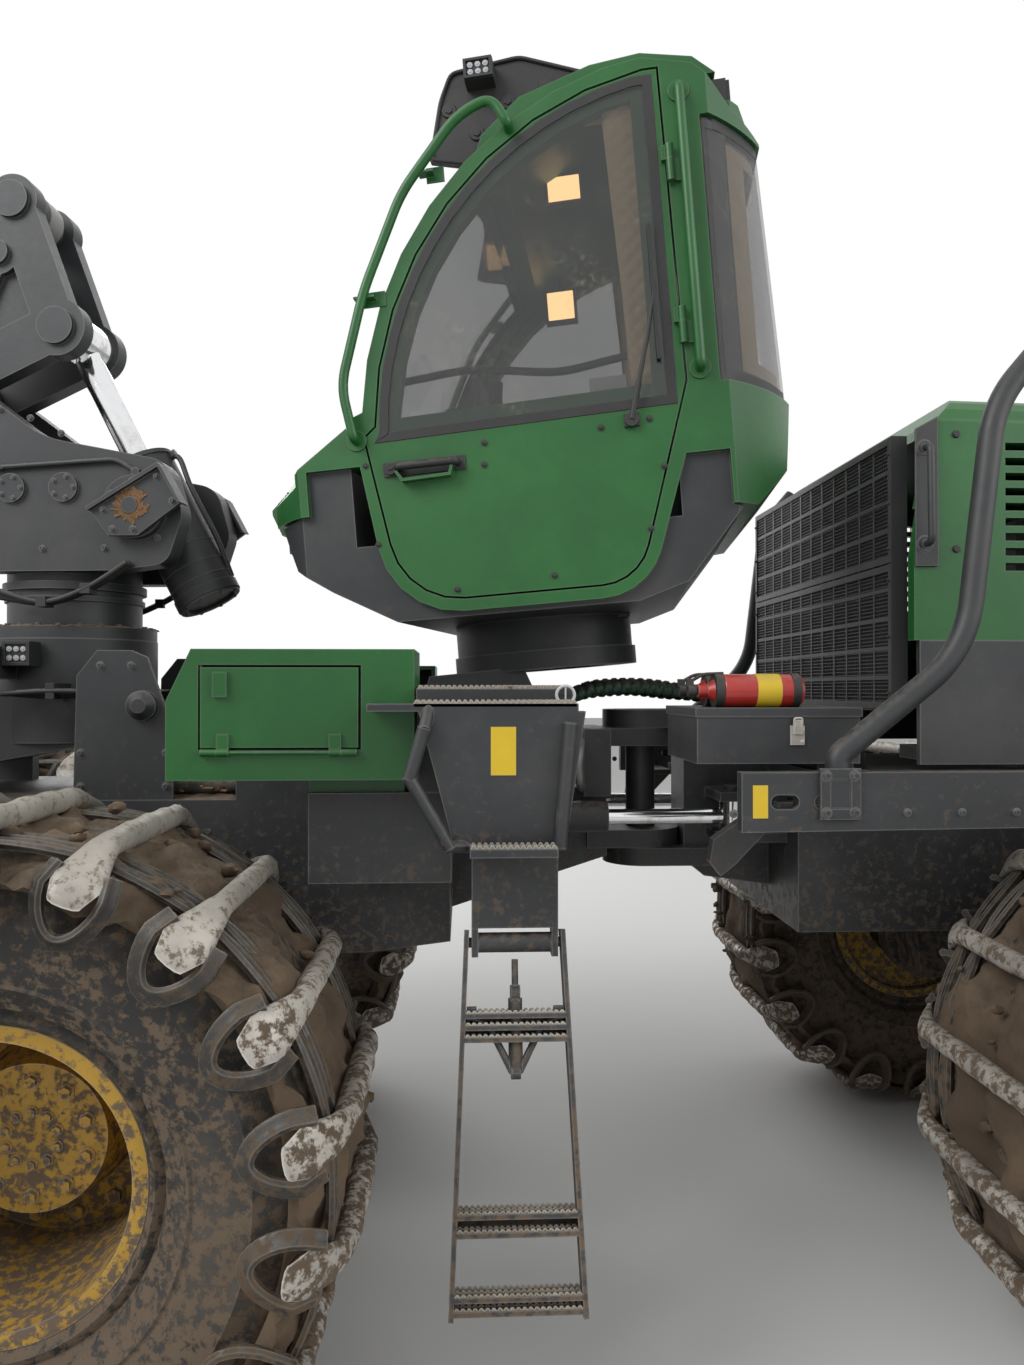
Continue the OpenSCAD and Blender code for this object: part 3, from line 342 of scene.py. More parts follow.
# %% [markdown]
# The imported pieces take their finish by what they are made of.
#
# The record names a material slot for every node. One table turns slot names into finishes, so a piece that
# is added to the model later still arrives painted.

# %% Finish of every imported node
SLOT_FINISH = {
    "frame_grey": frame_paint, "green_paint": green_paint, "rim_yellow": rim_paint, "tyre_rubber": rubber,
    "shoe_steel": worn_steel, "chrome_rod": chrome, "link_grey": cast_steel, "engine_iron": engine_iron,
    "grille_black": black_plastic, "hose_rubber": rubber, "glass": cab_glass, "seat_fabric": black_plastic,
    "red_paint": red_paint,
}
for node in nodes.values():
    for place in node.material_slots:
        plain = place.material.name.split(".")[0] if place.material else ""
        place.material = SLOT_FINISH.get(plain, frame_paint)
print("painted nodes", len(nodes))

# %% [markdown]
# A small workshop of shapes.
#
# Most added pieces are the same few forms: a slab, a rod, a plate cut to an outline, a tube bent through
# points and a bolt head. Each helper draws its form into one growing mesh, in millimetres, so that a whole
# group of small things becomes one joined piece. At the end the mesh is moved to its place in metres, its
# edges are softened with a bevel, and it is given its finish and the body that carries it.

# %% Shapes that are drawn into one mesh
SIDES = ((1, "left"), (-1, "right"))


def slab(bm, corner, opposite):
    """A box between two opposite corners, in any order."""
    size = [abs(v) for v in Vector(opposite) - Vector(corner)]
    middle = (Vector(opposite) + Vector(corner)) / 2
    bmesh.ops.create_cube(bm, size=1, matrix=Matrix.Translation(middle) @ Matrix.Diagonal((*size, 1)))


def rod(bm, start, end, radius, sides=20, end_radius=None):
    """A round bar, or a cone where its end has another radius."""
    start, end = Vector(start), Vector(end)
    along = end - start
    turn = along.to_track_quat("Z", "Y").to_matrix().to_4x4()
    bmesh.ops.create_cone(bm, cap_ends=True, segments=sides, radius1=radius,
                          radius2=radius if end_radius is None else end_radius, depth=along.length,
                          matrix=Matrix.Translation((start + end) / 2) @ turn)


def skin(bm, rows, around=False, along=False):
    """Faces between rows of points. around closes each row, along joins the last row to the first."""
    for a, b in zip(rows, rows[1:] + rows[:1] if along else rows[1:]):
        for k in range(len(a) if around else len(a) - 1):
            j = (k + 1) % len(a)
            bm.faces.new((a[k], a[j], b[j], b[k]))


def facing(across, a, b, level):
    """The point (a, b) in the two directions other than across, at a level along across."""
    return {"X": (level, a, b), "Y": (a, level, b), "Z": (a, b, level)}[across]


def plate(bm, outline, across, low, high):
    """A flat plate cut to an outline, thick from low to high."""
    near, far = ([bm.verts.new(facing(across, a, b, level)) for a, b in outline] for level in (low, high))
    bm.faces.new(near)
    bm.faces.new(reversed(far))
    skin(bm, [near, far], around=True)


def rounded(points, bend, steps=6):
    """The points of a bent run, with each corner drawn as a smooth curve."""
    points = [Vector(p) for p in points]
    path = [points[0]]
    for before, corner, after in zip(points, points[1:], points[2:]):
        reach = min(bend, (before - corner).length / 2, (after - corner).length / 2)
        start = corner + (before - corner).normalized() * reach
        end = corner + (after - corner).normalized() * reach
        for i in range(steps + 1):
            t = i / steps
            path.append(start * (1 - t) ** 2 + corner * 2 * t * (1 - t) + end * t ** 2)
    return path + [points[-1]]


def sweep(bm, path, radius, sides=12, closed=False, flat=1.0):
    """A tube along a path. The radius is a number or a function of run length and angle."""
    path = [Vector(p) for p in path]
    count = len(path)
    rings = []
    run = 0.0
    side = None
    for i, point in enumerate(path):
        before = path[i - 1] if i or closed else point
        after = path[(i + 1) % count] if i < count - 1 or closed else point
        along = (after - before).normalized()
        if side is None:
            side = along.orthogonal().normalized()
        side = (side - along * side.dot(along)).normalized()
        up = along.cross(side)
        if i:
            run += (point - path[i - 1]).length
        ring = []
        for k in range(sides):
            angle = 2 * math.pi * k / sides
            r = radius(run, angle) if callable(radius) else radius
            ring.append(bm.verts.new(point + side * math.cos(angle) * r + up * math.sin(angle) * r * flat))
        rings.append(ring)
    skin(bm, rings, around=True, along=closed)
    if not closed:
        bm.faces.new(reversed(rings[0]))
        bm.faces.new(rings[-1])


def bolt(bm, place, towards, width, washer=1.35):
    """A hexagon head on its washer, standing on the face at place."""
    place, towards = Vector(place), Vector(towards).normalized()
    rod(bm, place - towards, place + towards * width * 0.12, width * washer / 2 * 1.15, 16)
    rod(bm, place, place + towards * width * 0.62, width / 2 * 1.15, 6)


def bolt_ring(bm, centre, out, ring, count, width, first=0.0):
    """Bolts spaced evenly on a circle of radius ring; first is the share of a step to the first bolt."""
    for k in range(count):
        angle = 2 * math.pi * (k + first) / count
        a, b = ring * math.cos(angle), ring * math.sin(angle)
        bolt(bm, Vector(centre) + Vector((a, b, 0) if out[2] else (a, 0, b)), out, width)


def side_bolts(bm, side, y, places, width):
    """Bolts at (x, z) places that look out from the face at y, on one side of the machine."""
    for x, z in places:
        bolt(bm, (x, side * y, z), (0, side, 0), width)


def make(name, bm, matrix, material, body, bevel=1.5, smooth=30, segments=2):
    """Turns the drawn mesh into a piece in the model's frame, softened, finished and riding a body."""
    bmesh.ops.recalc_face_normals(bm, faces=bm.faces)
    mesh = bpy.data.meshes.new(name)
    bm.to_mesh(mesh)
    bm.free()
    mesh.transform(matrix)
    mesh.materials.append(material)
    piece = bpy.data.objects.new(name, mesh)
    bpy.context.collection.objects.link(piece)
    for face in mesh.polygons:
        face.use_smooth = True
    if bevel:
        soft = piece.modifiers.new("soft edges", "BEVEL")
        soft.width = bevel * MM
        soft.segments = segments
        soft.limit_method = "ANGLE"
        soft.angle_limit = math.radians(smooth)
        soft.harden_normals = True
    else:
        mesh.set_sharp_from_angle(angle=math.radians(smooth))
    if body:
        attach(piece, body)
    return piece


print("shapes ready")

# %% [markdown]
# Band tracks, the feature that takes the most skill.
#
# Each shoe is one forged bar that crosses the tyre, crowned in the middle, drawn out at both ends into
# paddles that bend over the shoulders, with a horseshoe guide beside the sidewall and two oval links to
# the next shoe. A bar like that is a loft: a rounded section whose width, thickness and height change
# along its length. One shoe is drawn once and set round the loop by the same rule as the model's own.

# %% One track shoe
TRACK_R = 785
LINK_R = 722
GAUGE_Y = 1095
BOGIE_HALF = 750
RUN_SHOES, TURN_SHOES = 8, 8
SHOE_HALF = 390
SHOE_STATIONS, SHOE_SIDES = 20, 12
SHOE_LEVEL = -33
PADDLE_START = 0.58
CROWN_DROP, PADDLE_DROP = 7, 88
BAR_HALF, PADDLE_FLARE = 27, 33
BAR_THICK, PADDLE_THIN = 30, 13
BOGIES = {"front": (2342, "chassis"), "rear": (-2100, "rear")}
TRACKS = [(end, *bogie, *side) for end, bogie in BOGIES.items() for side in SIDES]


def draw_shoe(bm, place, wobble):
    """place(across, travel, height) puts a point on the loop; height 0 is the loop's outer radius."""
    rings = []
    for i in range(SHOE_STATIONS + 1):
        y = -SHOE_HALF + 2 * SHOE_HALF * i / SHOE_STATIONS
        out = abs(y) / SHOE_HALF
        paddle = max(0.0, (out - PADDLE_START) / (1 - PADDLE_START))
        drop = CROWN_DROP * out ** 2 + PADDLE_DROP * paddle ** 1.9
        half = BAR_HALF - 3 * out + PADDLE_FLARE * min(1, paddle * 1.25) ** 1.4
        if i in (0, SHOE_STATIONS):
            half *= 0.62
        thick = BAR_THICK - 6 * out - PADDLE_THIN * paddle
        ring = []
        for k in range(SHOE_SIDES):
            angle = 2 * math.pi * k / SHOE_SIDES
            c, s = math.cos(angle), math.sin(angle)
            travel = half * abs(c) ** 0.8 * math.copysign(1, c) + wobble * 5 * math.sin(3 * out + wobble)
            height = SHOE_LEVEL - drop + thick * abs(s) ** 0.9 * math.copysign(1, s)
            height += 2.5 * math.sin(0.05 * y + 5 * wobble) * (s > 0)
            ring.append(bm.verts.new(place(y, travel, height)))
        rings.append(ring)
    skin(bm, rings, around=True)
    bm.faces.new(reversed(rings[0]))
    bm.faces.new(rings[-1])


def loop_place(bogie_x, side, run):
    """The point and direction of the loop at a run length, and a function that places points there."""
    straight = 2 * BOGIE_HALF
    turn = math.pi * LINK_R
    run = run % (2 * (straight + turn))
    if run < straight:
        angle, x = 0.0, -BOGIE_HALF + run
    elif run < straight + turn:
        angle, x = (run - straight) / LINK_R, BOGIE_HALF
    elif run < 2 * straight + turn:
        angle, x = math.pi, BOGIE_HALF - (run - straight - turn)
    else:
        angle, x = math.pi + (run - 2 * straight - turn) / LINK_R, -BOGIE_HALF
    along = Vector((math.cos(angle), 0, -math.sin(angle)))
    outward = Vector((math.sin(angle), 0, math.cos(angle)))
    centre = Vector((bogie_x + x, side * GAUGE_Y, TRACK_R))

    def place(across, travel, height):
        return centre + outward * (TRACK_R + height) + along * travel + Vector((0, across, 0))
    return place


def curved_place(bogie_x, side, run):
    """Like loop_place, but travel follows the loop, so that a link bends with it."""
    def place(across, travel, height):
        return loop_place(bogie_x, side, run + travel)(across, 0, height)
    return place


LOOP = 2 * (2 * BOGIE_HALF + math.pi * LINK_R)


def shoe_runs():
    """Run length of every shoe and the distance to the next one, by the model's own spacing."""
    turn = math.pi * LINK_R
    runs = []
    for start in (0, LOOP / 2):
        runs += [start + i * 2 * BOGIE_HALF / (RUN_SHOES - 1) for i in range(RUN_SHOES)]
        runs += [start + 2 * BOGIE_HALF + i * turn / (TURN_SHOES + 1) for i in range(1, TURN_SHOES + 1)]
    return [(run, (after - run) % LOOP) for run, after in zip(runs, runs[1:] + runs[:1])]


random.seed(11)
for end, bogie_x, body, side, hand in TRACKS:
    bm = bmesh.new()
    for run, pitch in shoe_runs():
        draw_shoe(bm, loop_place(bogie_x, side, run), random.uniform(-1, 1))
    shoes = make(f"{end}_track_shoes_{hand}", bm, MACHINE, worn_steel, body, bevel=0, smooth=50)
    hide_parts(f"{end}_tracks")
print("track shoes", len(shoe_runs()) * 4, "corners in one band", len(shoes.data.vertices))

# %% [markdown]
# Earth packed between the shoes.
#
# A machine that has come out of the stand carries a hand's breadth of soil on its tyres. It is a band round
# the loop, lumpy at several scales. The band is a grid whose height comes
# from layered noise, which costs few faces and never repeats.

# %% Packed earth
from mathutils import noise as lumps

earth = finish("packed earth", (0.135, 0.092, 0.058), shade=0.5, roughness=0.95, edge=0, dust=0.25, splash=0,
               rust=0, grain=3.0, grain_scale=45)
EARTH_STEPS, EARTH_COLUMNS, EARTH_HALF = 360, 24, 345
CLODS = 130


def earth_band(bogie_x, side, seed):
    """A lumpy grid round the loop, torn off at its edges."""
    bm = bmesh.new()
    grid = []
    for i in range(EARTH_STEPS):
        run = i * LOOP / EARTH_STEPS
        place = loop_place(bogie_x, side, run)
        row = []
        for j in range(EARTH_COLUMNS + 1):
            y = EARTH_HALF * (2 * j / EARTH_COLUMNS - 1)
            spot = Vector((run * 0.0052, y * 0.007, seed))
            height = -66 + 44 * lumps.fractal(spot, 0.9, 2.1, 6) + 20 * lumps.noise(spot * 4.5)
            height -= 58 * (abs(y) / EARTH_HALF) ** 3 + 20 * max(0, lumps.noise(spot * 2 + Vector((9, 0, 0))))
            row.append(bm.verts.new(place(y, 9 * lumps.noise(spot * 6), min(height, -27))))
        low = [bm.verts.new(place(y, 0, -150)) for y in (318, -318)]
        grid.append(row + low)
    skin(bm, grid, around=True, along=True)
    return bm


def clods(bm, bogie_x, side, count):
    """Loose lumps of earth pressed into the band."""
    for _ in range(count):
        place = loop_place(bogie_x, side, random.uniform(0, LOOP))
        size = random.uniform(7, 24)
        spot = place(random.uniform(-320, 320), 0, random.uniform(-62, -38))
        half_axes = (size, size * random.uniform(0.6, 1), size * 0.7, 1)
        shape = Matrix.Translation(spot) @ Matrix.Diagonal(half_axes)
        lump = bmesh.ops.create_icosphere(bm, subdivisions=2, radius=1, matrix=shape)
        for vert in lump["verts"]:
            swell = 0.5 * lumps.noise(vert.co * 0.05) + 0.5 * lumps.noise(vert.co * 0.13)
            vert.co += (vert.co - spot) * swell


for end, bogie_x, body, side, hand in TRACKS:
    seed = side + (3.7 if end == "rear" else 0.0)
    bm = earth_band(bogie_x, side, seed)
    clods(bm, bogie_x, side, CLODS)
    band = make(f"{end}_packed_earth_{hand}", bm, MACHINE, earth, body, bevel=0, smooth=70)
print("corners in one earth band", len(band.data.vertices))

# %% [markdown]
# Guides and links of the band.
#
# Beside the sidewall each shoe carries a horseshoe guide, a flat bar bent round so that the band cannot
# walk off the tyre. It stays dark, because only mud rubs it, while the shoe itself is polished by the
# ground. The guides and the oval links get their own darker steel for that reason. Both are bars swept
# along a curve that is placed by the loop's rule.

# %% Guides and links
dark_steel = finish("dark guide steel", (0.052, 0.048, 0.043), shade=0.6, roughness=0.5, metallic=0.4,
                    edge=0.5, edge_colour=(0.30, 0.27, 0.23), dust=0.35, splash=0.6, splash_top=2.4,
                    rust=0.5)


GUIDE_INSET, GUIDE_HALF, GUIDE_TOP, GUIDE_DEEP = 34, 74, -112, 104
LINK_Y, LINK_SPREAD, LINK_HALF, LINK_LEVEL = 232, 34, 15, -70


def draw_guides(bm, place):
    """Two horseshoes, one beside each sidewall."""
    half_turn = [math.pi * i / 14 for i in range(15)]
    for s in (-1, 1):
        y = s * (SHOE_HALF - GUIDE_INSET)
        bend = [place(y + s * 4 * math.sin(a), GUIDE_HALF * math.cos(a),
                      GUIDE_TOP - GUIDE_DEEP * math.sin(a)) for a in half_turn]
        path = [place(y - s * 26, 58, -72)] + bend + [place(y - s * 26, -58, -72)]
        sweep(bm, path, lambda run, angle: 8 + 13 * abs(math.sin(angle)) ** 1.5, 12)


def draw_links(bm, place, pitch):
    """Two oval links at each side of the tyre, from one shoe to the next."""
    turn = [2 * math.pi * i / 16 for i in range(16)]
    middle, reach = pitch / 2, pitch / 2 - 14
    for s in (-1, 1):
        for offset in (-LINK_SPREAD, LINK_SPREAD):
            y = s * LINK_Y + offset
            link = [place(y + LINK_HALF * math.sin(a), middle + reach * math.cos(a), LINK_LEVEL) for a in turn]
            sweep(bm, link, 11, 6, closed=True)


for end, bogie_x, body, side, hand in TRACKS:
    bm = bmesh.new()
    for run, pitch in shoe_runs():
        draw_guides(bm, curved_place(bogie_x, side, run))
        draw_links(bm, curved_place(bogie_x, side, run), pitch)
    make(f"{end}_track_guides_{hand}", bm, MACHINE, dark_steel, body, bevel=0, smooth=50)
print("guides on each side", len(shoe_runs()))

# %% [markdown]
# Tyres under the bands.
#
# Only the sidewalls show: a bead against the rim, a bulging wall with two thin moulding rings and the
# rounded shoulder. That is a profile turned round the axle. The shoulder blocks are steps in the profile's
# own surface, so every second pair of profiles round the tyre is lowered near the shoulder.

# %% Turned forms and tyres
def turned(bm, profile, centre, steps, across="Y", shape=None):
    """Turns (radius, across) points round an axle through centre. shape may move the radius by angle."""
    rings = []
    for i in range(steps):
        angle = 2 * math.pi * i / steps
        ring = []
        for radius, level in profile:
            r = shape(radius, level, i) if shape else radius
            a, b = r * math.cos(angle), r * math.sin(angle)
            ring.append(bm.verts.new(Vector(centre) + Vector(facing(across, a, b, level))))
        rings.append(ring)
    skin(bm, rings, along=True)


TYRE_HALF = [(331, 222), (352, 246), (372, 236), (384, 268), (430, 297), (436, 303), (443, 299), (500, 316),
             (560, 319), (566, 323), (574, 318), (630, 302), (662, 286), (684, 262), (697, 226)]
WHEELS = [(-BOGIE_HALF, 1), (-BOGIE_HALF, -1), (BOGIE_HALF, 1), (BOGIE_HALF, -1)]


def shoulder_blocks(radius, level, i):
    """The radius, lowered between two blocks of the shoulder."""
    return radius - 10 if 610 < radius < 690 and (i // 2) % 2 else radius


for end, (bogie_x, body) in BOGIES.items():
    bm = bmesh.new()
    profile = TYRE_HALF + [(r, -w) for r, w in reversed(TYRE_HALF)]
    for x, side in WHEELS:
        turned(bm, profile, (bogie_x + x, side * GAUGE_Y, TRACK_R), 96, shape=shoulder_blocks)
    tyres = make(f"{end}_worn_tyres", bm, MACHINE, rubber, body, bevel=0, smooth=35)
    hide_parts(f"{end}_tyres")
print("tyre profile points", len(TYRE_HALF))

# %% [markdown]
# Wheel nuts and hub bolts.
#
# The deep yellow rim is bolted to its hub by a ring of nuts, with two smaller rings on the planet gear's
# cover. The bolt helper is repeated round each circle, and the rim's rolled lip is turned like the tyre.

# %% Wheel fastenings
HUB_RINGS = ((16, 246, 30, GAUGE_Y - 151), (10, 130, 24, GAUGE_Y), (10, 60, 18, GAUGE_Y))
RIM_LIP = [(300, 22), (318, 26), (334, 24), (342, 14), (338, 4), (331, 0)]

for end, (bogie_x, body) in BOGIES.items():
    bm = bmesh.new()
    for x, side in WHEELS:
        for count, ring, width, y in HUB_RINGS:
            bolt_ring(bm, (bogie_x + x, side * y, TRACK_R), (0, side, 0), ring, count, width, 0.5)
        lip = [(r, side * w) for r, w in RIM_LIP]
        turned(bm, lip, (bogie_x + x, side * (GAUGE_Y + 205), TRACK_R), 64)
    make(f"{end}_wheel_fastenings", bm, MACHINE, rim_paint, body, bevel=0, smooth=40)
print("bolts in a wheel", sum(ring[0] for ring in HUB_RINGS))

# %% [markdown]
# Borders printed and glued on the cab's glass.
#
# Real cab glass is bonded from behind a black printed border, and a rubber lip closes the joint outside. On
# the door it follows the pane's outline, so an inset copy of the outline gives its inner edge. The front and
# rear panes are bent, so their borders are short strips laid on the same curves that the glass was cut from.

# %% Curves of the cab's glass
HALF_W = 620
DOOR_FACE = 619
POST_CENTRE, POST_AXES = (-550, 600), (975, 1020)
SWING_R = 880
REAR_X, REAR_LEAN, REAR_SILL, REAR_HIGH = -836, 46, 690, 750


def post(inset, low, high, steps=14):
    """Points of the front post's curve, inset from the cab's outline, between two angles in degrees."""
    angles = [math.radians(low + (high - low) * i / steps) for i in range(steps + 1)]
    return [(POST_CENTRE[0] + (POST_AXES[0] - inset) * math.cos(a),
             POST_CENTRE[1] + (POST_AXES[1] - inset) * math.sin(a)) for a in angles]


def inset_outline(points, distance):
    """The outline moved inwards; the points run round it anticlockwise."""
    moved = []
    for before, here, after in zip(points[-1:] + points[:-1], points, points[1:] + points[:1]):
        a, b = Vector(here) - Vector(before), Vector(after) - Vector(here)
        a, b = Vector((-a.y, a.x)).normalized(), Vector((-b.y, b.x)).normalized()
        middle = (a + b).normalized()
        moved.append(tuple(Vector(here) + middle * distance / max(0.3, middle.dot(a))))
    return moved


def ring_plate(bm, outer, inner, across, low, high):
    """A flat ring between two outlines with the same number of points."""
    loops = [[bm.verts.new(facing(across, a, b, level)) for a, b in line]
             for line, level in ((outer, low), (inner, low), (inner, high), (outer, high))]
    skin(bm, loops, around=True, along=True)


def strip(bm, inner, outer):
    """A thin closed strip between pairs of points: each row is (low point, high point)."""
    rows = [[bm.verts.new(p) for p in (a[0], a[1], b[1], b[0])] for a, b in zip(inner, outer)]
    skin(bm, rows, around=True)
    bm.faces.new(rows[0])
    bm.faces.new(reversed(rows[-1]))


def rear_point(angle, z, inset):
    """A point on the cab's bent rear at an angle round the swing circle, inset from the outline."""
    radius = SWING_R - inset
    x = max(-radius * math.cos(angle), REAR_X + REAR_LEAN * (z - REAR_SILL) / REAR_HIGH + inset)
    y = max(-(HALF_W - inset), min(HALF_W - inset, radius * math.sin(angle)))
    return x, y, z


def rear_band(bm, angles, low, high, insets):
    """A level strip round the bent rear, between two insets from its outline."""
    strip(bm, *([(rear_point(a, low, inset), rear_point(a, high, inset)) for a in angles]
                for inset in insets))


def rear_upright(bm, edge, low, high, insets):
    """An upright strip on the bent rear, from the first to the last angle of edge."""
    levels = [low + (high - low) * i / 8 for i in range(9)]
    strip(bm, *([(rear_point(edge[0], z, inset), rear_point(edge[-1], z, inset)) for z in levels]
                for inset in insets))


# %% Glass borders
PANE = [(-480, 640), (390, 622)] + post(50, 3, 82) + [(-478, 1560)]
BORDER_INSETS = (12.6, 11)
for body, name, y in (("door", "door_glass_border", DOOR_FACE),
                      ("cab", "cab_glass_borders", -DOOR_FACE - 2)):
    bm = bmesh.new()
    ring_plate(bm, inset_outline(PANE, 1), inset_outline(PANE, 27), "Y", y, y + 2)
    if body == "cab":
        back, front = (post(inset, 7, 51, 20) for inset in BORDER_INSETS)
        for low, high in ((-545, -505), (505, 545)):
            strip(bm, *([((x, low, z), (x, high, z)) for x, z in line] for line in (back, front)))
        half_turn = math.acos(604 / 868)
        turns = [half_turn * (2 * i / 28 - 1) for i in range(29)]
        for low, high in ((692, 722), (1398, 1428)):
            rear_band(bm, turns, low, high, BORDER_INSETS)
        for edge in (turns[:3], turns[-3:]):
            rear_upright(bm, edge, 700, 1420, BORDER_INSETS)
    make(name, bm, CAB, black_plastic, body, bevel=0)
print("glass borders", 2)

# %% [markdown]
# Lining behind the glass.
#
# Behind the rear edge of the door and round the rear pane the cab is lined with pale padded cloth, sewn in a
# quilt of small diamonds. It is what catches the eye through the dark glass. The strip is a grid whose
# height rises between the stitch lines, so that each diamond is a little cushion of its own.

# %% Quilted lining
quilt = finish("beige lining cloth", (0.88, 0.66, 0.40), shade=0.85, roughness=0.9, edge=0, dust=0.1,
               splash=0, rust=0, grain=1.2, grain_scale=400)


def quilted(bm, corner, across, nx, nz):
    """corner(u, v) gives the place and the direction out of the wall; u and v run from 0 to 1."""
    grid = []
    for i in range(nx + 1):
        row = []
        for k in range(nz + 1):
            u, v = i / nx, k / nz
            spot, out = corner(u, v)
            a, b = (u * across[0] + v * across[1]) * math.pi, (u * across[0] - v * across[1]) * math.pi
            rise = 7 * abs(math.sin(a)) ** 0.5 * abs(math.sin(b)) ** 0.5
            edge = min(1, 12 * min(u, 1 - u), 40 * min(v, 1 - v))
            row.append(bm.verts.new(Vector(spot) + Vector(out) * (3 + rise) * edge))
        grid.append(row)
    skin(bm, grid)


LINING_INSETS = (34, 26)
for side, hand in SIDES:
    bm = bmesh.new()
    quilted(bm, lambda u, v: ((-445 + 85 * u + 30 * u * v, side * 585, 715 + 810 * v), (0, side, 0)),
            (2, 18), 14, 160)
    quilted(bm, lambda u, v: ((-440 + 330 * v, side * 583, 1510 + (34 - 62 * v) * u - 30 * v), (0, side, 0)),
            (1.5, 8), 8, 80)
    slab(bm, (-450, side * 570 - 4, 712), (-352, side * 570 + 4, 1525))
    slab(bm, (-452, side * 571 - 3, 1470), (-115, side * 571 + 3, 1530))
    make(f"cab_lining_{hand}", bm, CAB, quilt, "cab", bevel=0, smooth=80)
bm = bmesh.new()
inner = [a * 0.86 for a in turns]
for low, high in ((735, 775), (1350, 1388)):
    rear_band(bm, inner, low, high, LINING_INSETS)
for edge in (inner[:4], inner[-4:]):
    rear_upright(bm, edge, 735, 1388, LINING_INSETS)
make("rear_window_lining", bm, CAB, quilt, "cab", bevel=2)
print("lining strips", 3)

# %% [markdown]
# Fittings of the door and the cab's side.
#
# A pull handle with a lock on its ledge, a wiper that sweeps the door pane, small round-headed screws and the
# bracket tabs of the hand rail. All are small, and they tell the size of the cab. The wiper is a tapered arm
# with a rubber blade, parked upright.

# %% Door fittings
bm = bmesh.new()
sweep(bm, rounded([(150, 622, 541), (150, 652, 541), (322, 652, 541), (322, 622, 541)], 16), 11, 14)
rod(bm, (345, 620, 541), (345, 634, 541), 17, 24)
slab(bm, (338, 633, 538), (352, 637, 544))
slab(bm, (128, 621, 520), (368, 624, 562))
make("door_handle", bm, CAB, black_plastic, "door")
bm = bmesh.new()
DOOR_SCREWS = ((70, 590), (75, 528), (-263, 596), (-399, 606), (-430, 470), (-380, 300), (-100, 195),
               (180, 180), (400, 330), (420, 560))
for x, z in DOOR_SCREWS:
    rod(bm, (x, DOOR_FACE, z), (x, DOOR_FACE + 3, z), 9, 16)
    rod(bm, (x, DOOR_FACE + 3, z), (x, DOOR_FACE + 6.5, z), 7, 16, end_radius=4)
make("door_screws", bm, CAB, black_plastic, "door", bevel=0)
bm = bmesh.new()
rod(bm, (-350, DOOR_FACE, 606), (-350, 640, 606), 20, 24)
slab(bm, (-372, DOOR_FACE, 588), (-328, 630, 624))
sweep(bm, [(-350, 638, 606), (-372, 643, 690), (-410, 641, 830), (-436, 633, 949)],
      lambda run, angle: 8 - run * 0.012, 10)
slab(bm, (-442, 622.5, 770), (-434, 630, 1136))
slab(bm, (-444, 629, 764), (-432, 636, 1142))
make("door_wiper", bm, CAB, black_plastic, "door")
bm = bmesh.new()
slab(bm, (-343, 598, 697), (-239, 600, 742))
white_blank = finish("white blank", (0.62, 0.62, 0.60), shade=0.9, roughness=0.5, edge=0, dust=0.2,
                     splash=0, rust=0)
make("door_blank_tag", bm, CAB, white_blank, "door", bevel=0)
bm = bmesh.new()
for side in (1, -1):
    for low, high, z in ((348, 410, 1030), (150, 196, 1362)):
        slab(bm, (low, side * 618, z), (high, side * 655, z + 7))
        slab(bm, (low - 26, side * 618, z - 18), (high - 20, side * 624, z + 26))
    for x, z in ((-548, 1500), (-548, 730), (440, 634)):
        low, high = sorted((side * 619, side * 626))
        rod(bm, (x, low, z), (x, high, z), 30, 28)
make("rail_tabs", bm, CAB, green_paint, "cab")
print("door fittings", 5)

# %% [markdown]
# Lamps.
#
# Work lamps are small boxes with a finned back and a clear face over two rows of three light cells. Each
# face is a recessed panel with six round cells, so that it reads as a lamp even unlit. Two warm lamps inside
# the cab are lit: their panes have a real emission, set on the shader's own socket.

# %% Lamp faces
lens = finish("lamp lens", (0.46, 0.48, 0.50), shade=0.9, roughness=0.12, coat=1.0, edge=0, dust=0.15,
              splash=0.1, rust=0)


def lamp_face(bm_frame, bm_lens, centre, out, width, height):
    """A framed face with two rows of three round cells; out is the direction it looks."""
    out = Vector(out).normalized()
    flat = Vector((0, 0, 1)).cross(out).normalized()
    up = out.cross(flat)
    centre = Vector(centre)

    def spot(a, b, level):
        return centre + flat * a + up * b + out * level

    outer = [(a * width / 2, b * height / 2) for a, b in ((-1, -1), (1, -1), (1, 1), (-1, 1))]
    rim = 0.09 * height + 3
    inner = inset_outline(outer, rim)
    loops = [[bm_frame.verts.new(spot(a, b, level)) for a, b in line]
             for line, level in ((outer, -2), (outer, 8), (inner, 8), (inner, 0))]
    skin(bm_frame, loops, around=True)
    bm_frame.faces.new(loops[0])
    bm_frame.faces.new(reversed(loops[-1]))
    step_a, step_b = (width - 2 * rim) / 3, (height - 2 * rim) / 2
    for i in range(3):
        for k in range(2):
            a, b = (i - 1) * step_a, (k - 0.5) * step_b
            radius = min(step_a, step_b) * 0.44
            rod(bm_lens, spot(a, b, 0), spot(a, b, 4), radius, 20, end_radius=radius * 0.9)
            rod(bm_lens, spot(a, b, 4), spot(a, b, 6), radius * 0.45, 14, end_radius=radius * 0.3)


